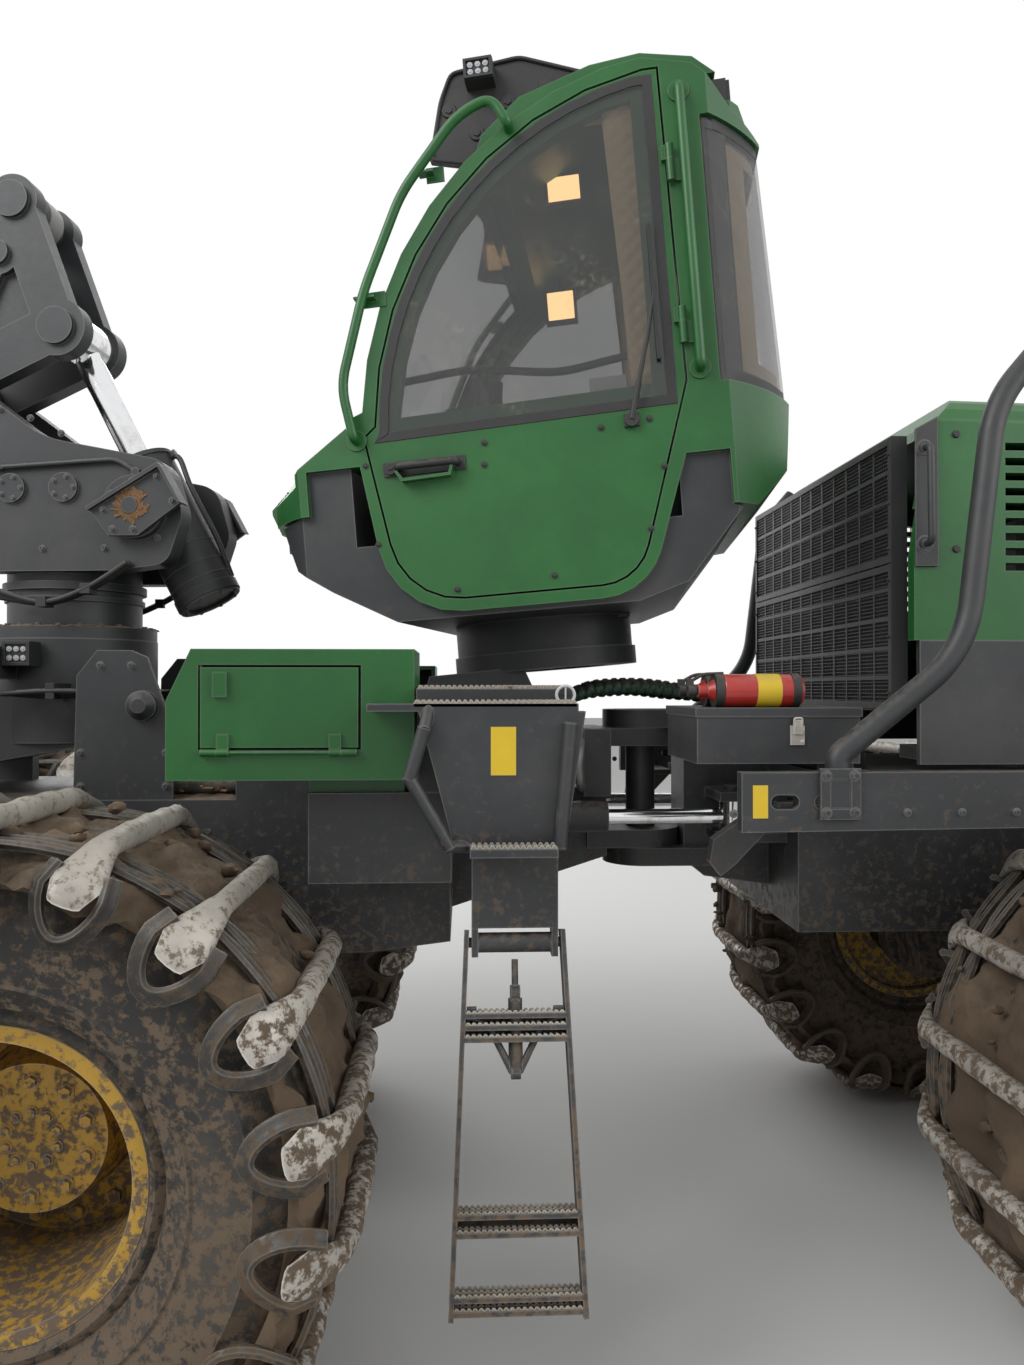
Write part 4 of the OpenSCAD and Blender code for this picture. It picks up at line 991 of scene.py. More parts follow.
FORWARD, BACKWARD = (1, 0, 0), (-1, 0, 0)
NOSE_LAMP, ROOF_LAMP, REAR_LAMP = (126, 84), (96, 86), (92, 62)
frames, lenses = bmesh.new(), bmesh.new()
for side in (1, -1):
    for z in (400, 500):
        lamp_face(frames, lenses, (725, side * 370, z), FORWARD, *NOSE_LAMP)
    lamp_face(frames, lenses, (-692, side * 480, 1535), BACKWARD, *REAR_LAMP)
    for y in (120, 350):
        lamp_face(frames, lenses, (126, side * y, 1650), FORWARD, *ROOF_LAMP)
make("cab_lamp_frames", frames, CAB, black_plastic, "cab", bevel=1)
make("cab_lamp_cells", lenses, CAB, lens, "cab", bevel=0.6)
bm = bmesh.new()
for side in (1, -1):
    for z in (352, 450):
        for i in range(7):
            slab(bm, (646 + i * 10, side * 440, z + 8), (650 + i * 10, side * 446, z + 88))
for y in (-350, -120, 120, 350):
    for i in range(6):
        slab(bm, (55, y - 44 + i * 16, 1606), (66, y - 40 + i * 16, 1694))
make("lamp_fins", bm, CAB, black_plastic, "cab", bevel=0.5)
warm, warm_tree, warm_shader = new_material("warm lamp")
warm_place = add(warm_tree, "TexCoord").outputs["Object"]
warm_tint = mix_colour(warm_tree, noise(warm_tree, warm_place, 60), (0.9, 0.75, 0.5), (0.8, 0.6, 0.35))
warm_tree.links.new(warm_tint, warm_shader.inputs["Base Color"])
warm_shader.inputs["Emission Color"].default_value = (1.0, 0.62, 0.28, 1)
warm_shader.inputs["Emission Strength"].default_value = 3.0
bm = bmesh.new()
slab(bm, (-179, -402, 1285), (-79, -398, 1392))
slab(bm, (-250, 296, 1400), (-150, 300, 1476))
make("warm_cab_lamps", bm, CAB, warm, "cab", bevel=3)
bm = bmesh.new()
slab(bm, (-190, -440, 1275), (-68, -402, 1402))
slab(bm, (-260, 262, 1392), (-140, 296, 1484))
slab(bm, (-205, 262, 1480), (-195, 296, 1560))
slab(bm, (-135, -440, 1400), (-123, -410, 1500))
make("warm_lamp_cases", bm, CAB, black_plastic, "cab")
print("lamps", 10)

# %% [markdown]
# Inside the cab.
#
# The driver's seat swallows most of the room, with a control pad on each arm rest, a screen by the front
# post and a grab rail under the pane. The seat's cushions are padded cloth: each starts as a plain rounded
# form, is remeshed into small even faces and blown up a little by a short cloth run, with every point held
# close to where it started. One subdivision then rounds the small faces off.

# %% Seat cushions
seat_cloth = finish("seat cloth", (0.035, 0.035, 0.037), shade=0.7, roughness=0.92, edge=0, dust=0.12,
                    splash=0, rust=0, grain=1.5, grain_scale=500)
VOXEL = 0.012
CLOTH_STEPS, CLOTH_PRESSURE = 20, 4


def cushion(name, low, high, lean, travel):
    """A crowned cushion between two corners, leaning back with height, blown up by a cloth run."""
    bm = bmesh.new()
    slab(bm, low, high)
    bmesh.ops.subdivide_edges(bm, edges=bm.edges, cuts=5, use_grid_fill=True)
    middle = (Vector(low) + Vector(high)) / 2
    half = (Vector(high) - Vector(low)) / 2
    for vert in bm.verts:
        part = Vector([(vert.co[k] - middle[k]) / half[k] for k in range(3)])
        pull = 1 - 0.05 * (abs(part.x) ** 6 + abs(part.y) ** 6 + abs(part.z) ** 6 - 1)
        vert.co = middle + Vector([part[k] * half[k] * pull for k in range(3)])
        vert.co.x -= lean * (vert.co.z - low[2])
    mesh = bpy.data.meshes.new(name)
    bmesh.ops.recalc_face_normals(bm, faces=bm.faces)
    bm.to_mesh(mesh)
    bm.free()
    mesh.transform(CAB)
    mesh.materials.append(seat_cloth)
    piece = bpy.data.objects.new(name, mesh)
    bpy.context.collection.objects.link(piece)
    remesh = piece.modifiers.new("even faces", "REMESH")
    remesh.mode, remesh.voxel_size = "VOXEL", VOXEL
    bpy.context.view_layer.objects.active = piece
    piece.select_set(True)
    bpy.ops.object.modifier_apply(modifier=remesh.name)
    start = [v.co.copy() for v in piece.data.vertices]
    cloth = piece.modifiers.new("padding", "CLOTH")
    cloth.settings.use_pressure = True
    cloth.settings.uniform_pressure_force = CLOTH_PRESSURE
    cloth.settings.effector_weights.gravity = 0
    for step in range(1, CLOTH_STEPS + 1):
        scene.frame_set(step)
    graph = bpy.context.evaluated_depsgraph_get()
    blown = [v.co.copy() for v in piece.evaluated_get(graph).data.vertices]
    piece.modifiers.remove(cloth)
    scene.frame_set(1)
    for vert, old, new in zip(piece.data.vertices, start, blown):
        move = new - old
        if move.length > travel * MM:
            move *= travel * MM / move.length
        vert.co = old + move
    smooth = piece.modifiers.new("soft", "SUBSURF")
    smooth.levels = smooth.render_levels = 1
    for face in piece.data.polygons:
        face.use_smooth = True
    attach(piece, "cab")
    return piece


seat_pad = cushion("seat_cushion", (-395, -235, 585), (115, 235, 672), 0, 22)
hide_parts("seat")
cushion("seat_back_cushion", (-440, -215, 715), (-365, 215, 1120), 0.13, 22)
cushion("seat_head_cushion", (-505, -120, 1150), (-435, 120, 1300), 0.10, 14)
for side, hand in SIDES:
    low, high = sorted((side * 290, side * 350))
    cushion(f"seat_arm_pad_{hand}", (-285, low, 735), (20, high, 775), 0, 8)
bm = bmesh.new()
slab(bm, (-400, -240, 560), (120, 240, 588))
slab(bm, (-300, -150, 90), (60, 150, 300))
rod(bm, (-120, 0, 300), (-120, 0, 560), 90, 32)
slab(bm, (-500, -222, 600), (-452, 222, 1130))
for side in (1, -1):
    low, high = sorted((side * 282, side * 358))
    slab(bm, (-300, low, 700), (120, high, 736))
    sweep(bm, [(60, side * 320, 736), (66, side * 320, 800), (60, side * 318, 850)],
          lambda run, angle: 16 + 8 * (run > 60), 16)
    slab(bm, (30, low + 8, 736), (115, high - 8, 752))
    slab(bm, (-330, low + 10, 600), (-270, high - 10, 700))
make("seat_frame", bm, CAB, black_plastic, "cab", bevel=5)
bm = bmesh.new()
slab(bm, (180, -430, 860), (205, -170, 1040))
rod(bm, (190, -300, 700), (190, -300, 870), 14)
slab(bm, (110, -500, 620), (330, -160, 700))
sweep(bm, rounded([(374, 450, 838), (118, 450, 859), (-151, 450, 815), (-406, 450, 850)], 60), 12, 12)
make("cab_console", bm, CAB, black_plastic, "cab", bevel=5)
print("inside the cab", 7)

# %% [markdown]
# Step plates, ladder and their teeth.
#
# Every tread on this machine is punched sheet with a saw-tooth edge, so that a wet boot holds. The teeth are
# worn pale by boots and are the brightest thing between the wheel and the cab. One toothed bar is drawn as an
# outline with a tooth every fourteen millimetres, and set in rows on each tread.

# %% Toothed treads
tread_steel = finish("worn tread steel", (0.34, 0.31, 0.26), shade=0.6, roughness=0.6, metallic=0.3, edge=0.6,
                     edge_colour=(0.60, 0.57, 0.50), dust=0.5, splash=0.3, rust=0.4)


def toothed_bar(bm, x0, x1, y, z, high=9, thick=4, pitch=14):
    """A bar along x with its teeth up; z is the foot of the teeth."""
    count = max(2, round((x1 - x0) / pitch))
    step = (x1 - x0) / count
    outline = [(x0, z - high), (x1, z - high)]
    for i in range(count, 0, -1):
        tip = z + high * 0.8
        outline += [(x0 + i * step, z), (x0 + (i - 0.25) * step, tip), (x0 + (i - 0.6) * step, tip)]
    outline.append((x0, z))
    plate(bm, outline, "Y", y - thick / 2, y + thick / 2)


PLATFORM_PLATES = (((349, 836), (721, 996), 1812), ((344, 1006), (725, 1098), 1777))
STEP_BARS, STEP_Z = (1003, 1030, 1060, 1090, 1120, 1157), 1447
LADDER = MACHINE @ Matrix.Translation((485, 985, 1190)) @ Matrix.Rotation(math.radians(12.5), 4, "X")
RUNG_DEPTHS = (165, 192, 219, 602, 640, 772, 800)
bm = bmesh.new()
for low, high, z in PLATFORM_PLATES:
    rows = max(3, round((high[1] - low[1]) / 26))
    for i in range(rows + 1):
        toothed_bar(bm, low[0], high[0], low[1] + (high[1] - low[1]) * i / rows, z)
    for i in range(9):
        x = low[0] + (high[0] - low[0]) * i / 8
        slab(bm, (x - 2, low[1], z - 8), (x + 2, high[1], z - 1))
for y in STEP_BARS:
    toothed_bar(bm, 395, 593, y, STEP_Z)
make("platform_treads", bm, MACHINE, tread_steel, "chassis", bevel=0)
bm = bmesh.new()
for z in RUNG_DEPTHS:
    half = 112 + 0.042 * z
    for y in (-24, 0, 25):
        toothed_bar(bm, -half, half, y, -z + 3, high=7)
make("ladder_treads", bm, LADDER, tread_steel, "ladder", bevel=0)
bm = bmesh.new()
for z, radius in ((-120, 20), (-300, 16)):
    rod(bm, (-12, 0, z), (12, 0, z), radius)
rod(bm, (0, 0, -300), (0, 0, -130), 17)
rod(bm, (0, 0, -130), (0, 0, -40), 8)
for s in (-1, 1):
    sweep(bm, [(s * 8, 0, -300), (s * 60, 4, -200), (s * 108, 4, -170)], 9, 8)
    slab(bm, (s * 105 - 12, -16, -180), (s * 105 + 12, 16, -150))
make("ladder_damper", bm, LADDER, frame_paint, "ladder")
print("ladder bars", 3 * len(RUNG_DEPTHS))

# %% [markdown]
# Blank plates, seals, straps and a latch.
#
# Two small plates are painted yellow and left blank. A black rubber ring behind the joint round each locker
# door is a seal and also painted shade: it stands for the dark inside of the locker that the gap shows. The
# bottles of the extinguisher lie in straps, and an over-centre latch holds the toolbox. They are small pieces
# that break up the plain panels.

# %% Plates and latches
blank_yellow = finish("yellow blank", (0.72, 0.50, 0.02), shade=0.85, roughness=0.5, edge=0.2, dust=0.35,
                      splash=0.2, rust=0)
BOTTLE_YS, BOTTLE_Z = (640, 745), 1805.3
bm = bmesh.new()
# A black rubber ring behind each locker door's gap: a seal, and painted shade for the dark inside of the
# locker.
for s in (-1, 1):
    ring_plate(bm, [(748, 1605), (1248, 1605), (1248, 1889), (748, 1889)],
               [(886, 1687), (1226, 1687), (1226, 1842), (886, 1842)], "Y", s * 950, s * 960)
make("locker_seals_and_gap_shade", bm, MACHINE, rubber, "chassis", bevel=0)
bm = bmesh.new()
slab(bm, (487, 1099.5, 1608), (546, 1101.5, 1721))
make("platform_blank_plate", bm, MACHINE, blank_yellow, "chassis", bevel=0)
bm = bmesh.new()
slab(bm, (-146, 979.5, 1488), (-108, 981.5, 1570))
make("beam_blank_plate", bm, MACHINE, blank_yellow, "rear", bevel=0)
bm = bmesh.new()
for y in BOTTLE_YS:
    rod(bm, (-246, y, BOTTLE_Z), (-180, y, BOTTLE_Z), 46.2, 40)
make("extinguisher_bands", bm, MACHINE, blank_yellow, "toolbox_lid", bevel=0)
bm = bmesh.new()
for y in BOTTLE_YS:
    for x in (-300, -90):
        rod(bm, (x, y, BOTTLE_Z), (x + 22, y, BOTTLE_Z), 48, 36)
    slab(bm, (-300, y - 12, 1755), (-278, y + 12, 1765))
    rod(bm, (-20, y, 1805), (2, y, 1805), 16, 20)
    slab(bm, (-14, y - 8, 1815), (6, y + 8, 1838))
    sweep(bm, rounded([(-2, y, 1828), (-40, y + 2, 1850), (-96, y + 2, 1852)], 14), 5, 8)
make("extinguisher_straps", bm, MACHINE, black_plastic, "toolbox_lid")
bm = bmesh.new()
x0, x1 = -292, -270
slab(bm, (x0 - 8, 799, 1660), (x1 + 8, 806, 1712))
slab(bm, (x0, 803, 1690), (x1, 812, 1728))
sweep(bm, rounded([(x0, 808, 1700), (x0, 812, 1732), (x1, 812, 1732), (x1, 808, 1700)], 6), 3, 8)
side_bolts(bm, 1, 806, ((x0 - 2, 1668), (x0 - 2, 1702)), 7)
make("toolbox_latch", bm, MACHINE, worn_steel, "rear", bevel=0.6)
print("plates, seals and latches", 6)

# %% [markdown]
# The radiator screen.
#
# The hood's front is a fine woven screen in two frames, and behind it stand the coarse bars that the model
# already has. A screen of thin wires is the cheapest way to show that: upright and level bars a finger
# apart, each a thin slab, inside two bevelled frames. A grey strip and a grab handle finish the corners.

# %% Screen, corner strips and handles
WIRES, WIRE_PITCH, LEVEL_PITCH = 86, 15, 11
FRAME_BOLT_ZS = (1800, 1960, 2120, 2210, 2340, 2480)
HOOD_SCREWS = ((-760, 2200), (-760, 2520), (-1400, 2160), (-2000, 2160), (-2600, 2160), (-820, 2085))
bm = bmesh.new()
for low, high in ((1768, 2160), (2176, 2512)):
    for i in range(WIRES):
        y = -636 + WIRE_PITCH * i
        slab(bm, (-611, y - 1.4, low), (-608, y + 1.4, high))
    for i in range(int((high - low) / LEVEL_PITCH)):
        z = low + 6 + LEVEL_PITCH * i
        slab(bm, (-609.5, -640, z), (-606, 640, z + 2.4))
make("radiator_screen", bm, MACHINE, black_plastic, "rear", bevel=0)
bm = bmesh.new()
for low, high in ((1752, 2166), (2170, 2528)):
    ring_plate(bm, [(-654, low), (654, low), (654, high), (-654, high)],
               [(-634, low + 20), (634, low + 20), (634, high - 20), (-634, high - 20)], "X", -606, -602)
for s in (-1, 1):
    for z in FRAME_BOLT_ZS:
        bolt(bm, (-602, s * 644, z), (1, 0, 0), 8)
make("radiator_screen_frames", bm, MACHINE, black_plastic, "rear", bevel=1.5)
bm = bmesh.new()
for s in (-1, 1):
    plate(bm, [(-640, 2150), (-640, 2532), (-705, 2568), (-706, 2150)], "Y", s * 721, s * 729)
    handle = [(-665, s * 724, 2478), (-665, s * 768, 2478), (-668, s * 768, 2212), (-668, s * 724, 2212)]
    sweep(bm, rounded(handle, 26), 10, 14)
    for z in (2478, 2212):
        low, high = sorted((s * 727, s * 733))
        rod(bm, (-666, low, z), (-666, high, z), 22, 24)
make("hood_corner_trim", bm, MACHINE, frame_paint, "hood", bevel=2)
bm = bmesh.new()
for s in (-1, 1):
    for x, z in HOOD_SCREWS:
        low, high = sorted((s * 719, s * 726))
        rod(bm, (x, low, z), (x, high, z), 12, 18, end_radius=9)
make("hood_screws", bm, MACHINE, black_plastic, "hood", bevel=0)
print("upright wires", 2 * WIRES)

# %% [markdown]
# Hoses over the centre joint.
#
# A bundle of hydraulic hoses leaves the cab's base, runs back over the joint and dives under the toolbox.
# Each is wound with a spiral guard, a flat dark green or black ribbon that keeps it from chafing. Hose and
# guard are one swept tube whose radius steps up and down along its length and round it. The bundle crosses
# the steering joint, so it is set on neither frame.

# %% Hose bundle
guard_green = finish("hose guard green", (0.020, 0.060, 0.035), shade=0.7, roughness=0.5, edge=0.3, dust=0.35,
                     splash=0.2, rust=0)
HOSES = ((-90, 0), (-45, 12), (0, -4), (45, 16), (90, 4))


def smooth_run(points, count=90):
    """A smooth curve through the points, as many as asked."""
    points = [Vector(p) for p in points]
    points = [2 * points[0] - points[1]] + points + [2 * points[-1] - points[-2]]
    out = []
    for n in range(count + 1):
        t = n / count * (len(points) - 3)
        i = min(int(t), len(points) - 4)
        t -= i
        a, b, c, d = points[i:i + 4]
        bend, twist = 2 * a - 5 * b + 4 * c - d, 3 * b - a - 3 * c + d
        out.append(0.5 * (2 * b + (c - a) * t + bend * t ** 2 + twist * t ** 3))
    return out


for n, material in enumerate((guard_green, rubber)):
    bm = bmesh.new()
    for y, rise in HOSES[n::2]:
        path = smooth_run([(262, y, 1775), (180, y * 1.1, 1802 + rise), (40, y * 1.25, 1812 + rise),
                           (-90, y * 1.2, 1800 + rise), (-220, y * 1.05, 1786), (-330, y, 1760)], 170)
        sweep(bm, path, lambda run, angle: 17 + 4.5 * (math.sin((run * 0.21 + angle)) > -0.2), 14)
    hoses = make(f"joint_hose_bundle_{n + 1}", bm, MACHINE, material, None, bevel=0, smooth=40)
    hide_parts("joint_hoses")
    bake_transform(hoses)
print("hoses", len(HOSES))

# %% [markdown]
# The centre joint's pins and the guard's bracket.
#
# The joint is a stack of cast plates with two fat pins, held by bolted caps. The rear frame's nose carries a
# bolted cover, the guard tube stands on a bracket with four bolts. Bolt heads are drawn by one helper and set
# by short lists.

# %% Joint, bracket and frame bolts
PIN_CAPS = (1327, 1675)
BEAM_SIDE, BRACKET_SIDE = 980, 992
bm = bmesh.new()
for z in PIN_CAPS:
    bolt_ring(bm, (0, 0, z), (0, 0, 1), 52, 6, 16)
make("joint_pin_bolts", bm, MACHINE, cast_steel, "chassis", bevel=0.6)
bm = bmesh.new()
for s in (-1, 1):
    low, high = sorted((s * BEAM_SIDE, s * BRACKET_SIDE))
    ring_plate(bm, [(-378, 1484), (-275, 1484), (-275, 1612), (-378, 1612)],
               [(-352, 1512), (-301, 1512), (-301, 1584), (-352, 1584)], "Y", low, high)
    slab(bm, (-352, low, 1512), (-301, high - 3 * (s > 0), 1584))
    side_bolts(bm, s, BRACKET_SIDE, [(x, z) for x in (-362, -290) for z in (1502, 1594)], 17)
    side_bolts(bm, s, BEAM_SIDE, [(x, 1500) for x in (-60, -500, -640, -780)], 14)
make("guard_brackets", bm, MACHINE, frame_paint, "rear", bevel=2)
print("bolts in the pin caps", 6 * len(PIN_CAPS))

# %% [markdown]
# Crane: caps, bolts and small castings.
#
# The trunnions and pins of the crane have bolted caps, and thin pipes run along the pillar in clamps. The
# bolts are set in rings round each pin, in the crane's own frame, and ride on the pillar.

# %% Crane fastenings
CAPS = (((1596, 2373), 282, 78, 6, 17), ((1830, 2440), 262, 34, 5, 11), ((2000, 2440), 262, 34, 5, 11))
PILLAR_BOLTS = ((2040, 2690), (1940, 2660), (1840, 2610), (1540, 2450), (1530, 2280), (1700, 2250),
                (1900, 2250))
bm = bmesh.new()
for s in (-1, 1):
    for (x, z), y, ring, count, width in CAPS:
        bolt_ring(bm, (x, s * y, z), (0, s, 0), ring, count, width, 0.5)
    side_bolts(bm, s, 250, PILLAR_BOLTS, 15)
bolt_ring(bm, (CRANE_X, 0, 2010), (0, 0, 1), 238, 24, 15)
make("pillar_bolts", bm, CRANE, frame_paint, "pillar", bevel=0.8)
bm = bmesh.new()
for k, (y, r) in enumerate(((262, 11), (286, 9), (-262, 11))):
    pipe = [(1610, y, 2200), (1740, y + 4, 2120), (1880, y, 2080), (2040, y - 4, 2100 + 20 * k)]
    sweep(bm, smooth_run(pipe, 40), r, 10)
    for x, z in ((1740, 2120), (1880, 2080)):
        slab(bm, (x - 16, min(y, y * 0.94), z - 16), (x + 16, max(y, y * 0.94) + 12 * (y > 0), z + 16))
make("pillar_pipes", bm, CRANE, black_plastic, "pillar", bevel=1)
print("bolts on the pillar", 2 * (sum(cap[3] for cap in CAPS) + len(PILLAR_BOLTS)) + 24)

# %% [markdown]
# Rails bent from one tube.
#
# A hand rail is one tube in smooth bends, while the model's own has a ball at each corner to stay simple. The
# tube is swept along the same points with rounded corners and takes the place of the model's rail. The tubes
# that guard the hood's corners are made the same way from thicker pipe.

# %% Hand rails and guard tubes
RAIL_Y, GUARD_Y = 654, 960
bm = bmesh.new()
for s in (-1, 1):
    y, wall = s * RAIL_Y, s * 622
    front = [(-70, wall, 1466), (-70, y, 1466), (-30, y, 1545), (73, y, 1506), (247, y, 1312), (379, y, 1047),
             (465, y, 787), (440, y, 634), (440, wall, 634)]
    sweep(bm, rounded(front, 55, 8), 14, 18)
    rear = [(-548, wall, 1500), (-548, y, 1500), (-548, y, 730), (-548, wall, 730)]
    sweep(bm, rounded(rear, 26, 6), 14, 18)
rails = make("cab_hand_rails", bm, CAB, green_paint, "cab", bevel=0)
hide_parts("cab_rails")
bm = bmesh.new()
for s in (-1, 1):
    run = [(-329, 1603), (-329, 1640), (-661, 1907), (-738, 2537), (-860, 2680)]
    sweep(bm, rounded([(x, s * GUARD_Y, z) for x, z in run], 130, 10), 30, 28)
guards = make("guard_tubes", bm, MACHINE, frame_paint, "rear", bevel=0)
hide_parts("guard_rails")
print("rails", 6)

# %% [markdown]
# The deck behind the crane.
#
# Bark, chips and mud gather on the flat deck between the lockers and the crane, over the hoses that run to
# the crane's foot. The dirt is a noisy sheet laid on the deck, and the hoses come up out of it.

# %% Deck dirt and hoses
DIRT_ROWS, DIRT_COLUMNS = 60, 70
DECK_HOSES = (-300, -250, -110, -60, -10, 40, 90, 280, 330)
bm = bmesh.new()
sheet = []
for i in range(DIRT_ROWS + 1):
    line = []
    for k in range(DIRT_COLUMNS + 1):
        u, v = i / DIRT_ROWS, k / DIRT_COLUMNS
        x, y = 1292 + 430 * u, -412 + 824 * v
        spot = Vector((x * 0.011, y * 0.011, 2.5))
        edge = min(1, 8 * min(u, 1 - u), 8 * min(v, 1 - v))
        line.append(bm.verts.new((x, y, 1479 + edge * (16 + 20 * lumps.fractal(spot, 0.9, 2.1, 6)))))
    sheet.append(line)
skin(bm, sheet)
make("deck_dirt", bm, MACHINE, earth, "chassis", bevel=0, smooth=70)
bm = bmesh.new()
for n, y in enumerate(DECK_HOSES):
    bend = 10 * math.sin(2.3 * n)
    hose = [(1291, y, 1500 + n % 3 * 8), (1400, y + bend, 1506), (1520, y - bend, 1512 + n % 2 * 10),
            (1640, y * 0.9, 1503)]
    sweep(bm, smooth_run(hose, 30), 15 + 3 * (n % 3), 12)
make("deck_hoses", bm, MACHINE, rubber, "chassis", bevel=0, smooth=40)
print("deck hoses", len(DECK_HOSES))

# %% [markdown]
# Small parts of the joint and the step.
#
# Three bent pipes lie beside the centre joint, and a white ring hangs at the edge of the step. They fill the
# darkest part of the picture with the right kind of clutter.

# %% Joint pipes and step ring
bm = bmesh.new()
for y in (120, 150, 180):
    sweep(bm, smooth_run([(222, y, 1650), (232, y + 50, 1610), (238, y + 62, 1560), (232, y + 50, 1510),
                          (222, y, 1480)], 40), 11, 12)
make("joint_pipes", bm, MACHINE, cast_steel, "chassis", bevel=0)
bm = bmesh.new()
angles = [2 * math.pi * i / 28 for i in range(28)]
sweep(bm, [(361 + 22 * math.cos(a), 1001, 1795 + 22 * math.sin(a)) for a in angles], 4, 10, closed=True)
for k in range(2):
    slab(bm, (359 - 20 * k, 998, 1775 + 20 * k), (363 + 20 * k, 1003, 1815 - 20 * k))
make("step_ring", bm, MACHINE, white_blank, "chassis", bevel=0.5)
print("joint pipes and ring", 2)

# %% [markdown]
# Round the crane's foot.
#
# Two upright plates shield the crane's foot, a work lamp looks sideways from it, and a lamp sits in the
# bracket on the cab's roof. The plates stand on the deck and keep clear of everything that slews above them.

# %% Shield plates and side lamps
SHIELD = [(1475, 1478), (1475, 1690), (1552, 1905), (1600, 1926), (1700, 1926), (1760, 1850), (1769, 1478)]
SHIELD_BOLTS = ((1497, 1520), (1497, 1620), (1747, 1520), (1747, 1620), (1600, 1880), (1690, 1880))
bm = bmesh.new()
for s in (-1, 1):
    plate(bm, SHIELD, "Y", s * 402, s * 414)
    for x in (1490, 1740):
        slab(bm, (x, s * 350, 1478), (x + 14, s * 402, 1640))
    side_bolts(bm, s, 414, SHIELD_BOLTS, 15)
    rod(bm, (1564, s * 414, 1760), (1564, s * 440, 1760), 45, 36)
    rod(bm, (1564, s * 440, 1760), (1564, s * 462, 1760), 44, 36, end_radius=22)
make("foot_shield_plates", bm, MACHINE, frame_paint, "chassis", bevel=2)
frames, lenses = bmesh.new(), bmesh.new()
for s in (-1, 1):
    slab(frames, (1925, s * 268, 1880), (2008, s * 342, 1956))
    slab(frames, (1950, s * 240, 1900), (1985, s * 270, 1930))
    lamp_face(frames, lenses, (1966, s * 343, 1918), (0, s, 0), 82, 74)
    for i in range(3):
        y = s * (322 + 22 * i)
        cable = [(1700, y, 1800), (1850, y + 5 * s, 1788 + 8 * i), (2000, y, 1796)]
        sweep(frames, smooth_run(cable, 24), 9, 10)
    slab(frames, (1840, s * 230, 1780), (1866, s * 378, 1828))
make("foot_lamp_frames", frames, MACHINE, black_plastic, "crane_base", bevel=1)
make("foot_lamp_cells", lenses, MACHINE, lens, "crane_base", bevel=0.6)
frames, lenses = bmesh.new(), bmesh.new()
for s in (-1, 1):
    slab(frames, (-28, s * 455, 1690), (60, s * 512, 1750))
    lamp_face(frames, lenses, (16, s * 513, 1720), (0, s, 0), 86, 58)
    low, high = sorted((s * 455, s * 461))
    for x, z in ((40, 1560), (-60, 1640), (-180, 1670), (120, 1640)):
        rod(frames, (x, low, z), (x, high, z), 24, 24, end_radius=21)
        rod(frames, (x, low, z), (x, s * 465, z), 12, 6)
    edge = ((64, 1470), (186, 1500), (144, 1670), (106, 1750), (-104, 1767), (-305, 1686))
    sweep(frames, rounded([(x, s * 458, z) for x, z in edge], 20, 3), 6, 8)
make("roof_lamp_frames", frames, CAB, black_plastic, "cab", bevel=1)
make("roof_lamp_cells", lenses, CAB, lens, "cab", bevel=0.6)
print("foot and roof lamps", 4)

# %% [markdown]
# Trunnion housings, cylinder rings and bark.
#
# A five-sided housing is bolted over each trunnion of the lift cylinder, and a steel pipe runs along the
# side plate to it. The cylinder's barrel has turned rings and a recessed end cap. The rings have a bore, so
# that the rod runs through them. Bark and chips lie wherever the crane drops them; each chip is a small
# slab, turned at random by a fixed seed.

# %% Housings, rings and chips
HOUSING = [(1665, 2280), (1571, 2280), (1437, 2378), (1501, 2489), (1720, 2357)]
TRUNNION = (1596, 0, 2373)
LIFT_PIN = (1913, 0, 2986)
LIFT_LEAN = math.atan2(LIFT_PIN[0] - TRUNNION[0], LIFT_PIN[2] - TRUNNION[2])
LIFT = CRANE @ Matrix.Translation(TRUNNION) @ Matrix.Rotation(LIFT_LEAN, 4, "Y")
BARREL_RINGS = ((-299, 109, 34), (-240, 106.5, 5), (-190, 106.5, 4), (-120, 106.5, 4), (204, 110, 14))
RING_BORE = 98
HOUSING_BOLTS = ((1650, 2300), (1585, 2300), (1462, 2384), (1512, 2460), (1680, 2360))
bm = bmesh.new()
for s in (-1, 1):
    plate(bm, HOUSING, "Y", s * 284, s * 302)
    plate(bm, [(1496, 2490), (1502, 2502), (1730, 2366), (1722, 2356)], "Y", s * 251, s * 318)
    plate(bm, [(1432, 2378), (1442, 2378), (1506, 2492), (1496, 2496)], "Y", s * 251, s * 318)
    rod(bm, (1596, s * 300, 2373), (1596, s * 307, 2373), 26, 24)
    side_bolts(bm, s, 302, HOUSING_BOLTS, 14)
    sweep(bm, rounded([(2070, s * 262, 2502), (1656, s * 262, 2524), (1592, s * 262, 2482)], 30), 8, 12)
    rod(bm, (1592, s * 249, 2482), (1592, s * 274, 2482), 15, 6)
    rod(bm, (2034, s * 249, 2506), (2034, s * 270, 2506), 12, 16)
for z, radius, height in ((2128, 224, 26), (2092, 218, 16)):
    rod(bm, (CRANE_X, 0, z), (CRANE_X, 0, z + height), radius, 72)
make("trunnion_housings", bm, CRANE, frame_paint, "pillar", bevel=1.5)
bm = bmesh.new()
for z, radius, height in BARREL_RINGS:
    section = [(RING_BORE, 0), (radius, 0), (radius, height), (RING_BORE, height), (RING_BORE, 0)]
    turned(bm, section, (0, 0, z), 72, across="Z")
bmesh.ops.remove_doubles(bm, verts=bm.verts, dist=0.01)
turned(bm, [(104, 0), (104, -8), (84, -8), (78, 4), (20, 4), (14, 0)], (0, 0, -300), 48, across="Z")
bolt_ring(bm, (0, 0, -306), (0, 0, -1), 92, 8, 11)
pipe = [(-100, 0, 196), (-128, 6, 170), (-122, 20, 60), (-120, 10, -120), (-104, 0, -262)]
sweep(bm, smooth_run(pipe, 40), 9, 12)
rod(bm, (-92, 0, 196), (-124, 0, 196), 17, 6)
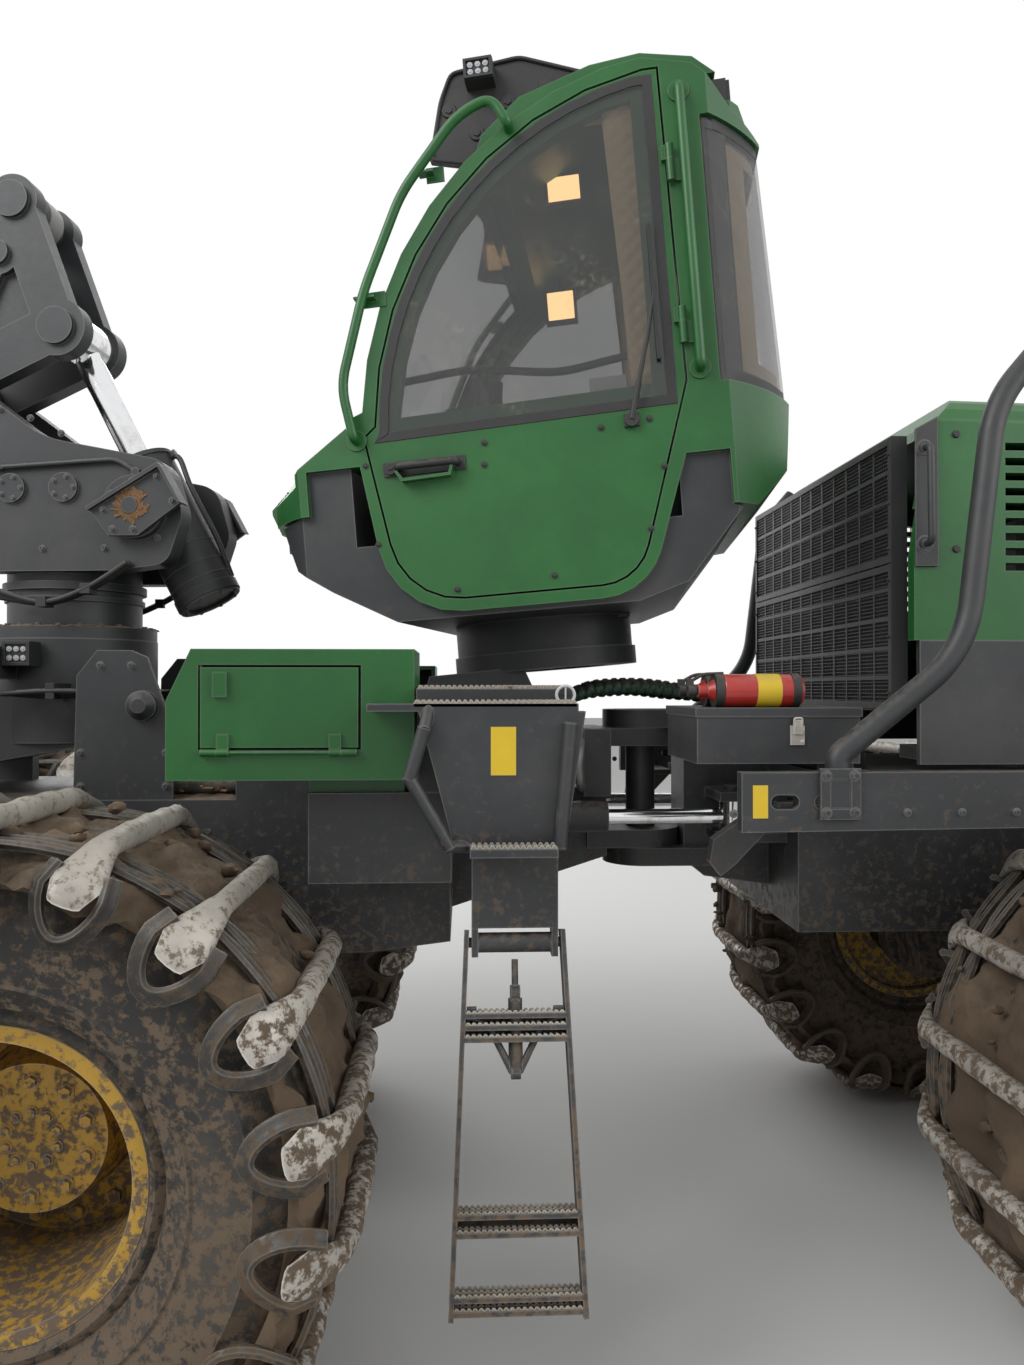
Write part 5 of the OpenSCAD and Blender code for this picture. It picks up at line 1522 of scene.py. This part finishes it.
make("lift_barrel_rings", bm, LIFT, frame_paint, "lift_barrel", bevel=1)
bark = finish("bark chips", (0.21, 0.105, 0.045), shade=0.5, roughness=0.9, edge=0.3,
              edge_colour=(0.42, 0.27, 0.14), dust=0.2, splash=0, rust=0, grain=1.5, grain_scale=150)


def chips(bm, count, place, up):
    """Bark chips that lie flat across the direction up, each turned its own way."""
    up = Vector(up).normalized()
    for _ in range(count):
        turn = up.to_track_quat("Z", "Y").to_matrix().to_4x4()
        turn = turn @ Matrix.Rotation(random.uniform(0, 6.28), 4, "Z")
        turn = turn @ Matrix.Rotation(random.uniform(-0.35, 0.35), 4, "X")
        size = (random.uniform(12, 42), random.uniform(4, 12), random.uniform(1.5, 4), 1)
        bmesh.ops.create_cube(bm, size=1, matrix=Matrix.Translation(place()) @ turn @ Matrix.Diagonal(size))


def on_flange():
    """A place at random on the pillar's flange."""
    a, r = random.uniform(0, 2 * math.pi), random.uniform(216, 254)
    return Vector((CRANE_X + r * math.cos(a), r * math.sin(a), 2012))


def on_housing():
    """A place at random round the left trunnion's cover."""
    a, r = random.uniform(0, 2 * math.pi), random.uniform(24, 52)
    return Vector((1596 + r * math.cos(a), 303, 2373 + r * math.sin(a)))


def on_deck():
    """A place at random on the deck's dirt."""
    return Vector((random.uniform(1310, 1640), random.uniform(-380, 380), random.uniform(1500, 1516)))


def on_platform():
    """A place at random on the platform's treads."""
    return Vector((random.uniform(350, 720), random.uniform(840, 990), 1814))


UP, LEFT = (0, 0, 1), (0, 1, 0)
FLANGE_CHIPS, HOUSING_CHIPS, DECK_CHIPS, PLATFORM_CHIPS = 190, 60, 220, 90
random.seed(23)
bm = bmesh.new()
chips(bm, FLANGE_CHIPS, on_flange, UP)
chips(bm, HOUSING_CHIPS, on_housing, LEFT)
make("crane_bark_chips", bm, CRANE, bark, "pillar", bevel=0)
bm = bmesh.new()
chips(bm, DECK_CHIPS, on_deck, UP)
chips(bm, PLATFORM_CHIPS, on_platform, UP)
make("deck_bark_chips", bm, MACHINE, bark, "chassis", bevel=0)
print("chips", FLANGE_CHIPS + HOUSING_CHIPS + DECK_CHIPS + PLATFORM_CHIPS)
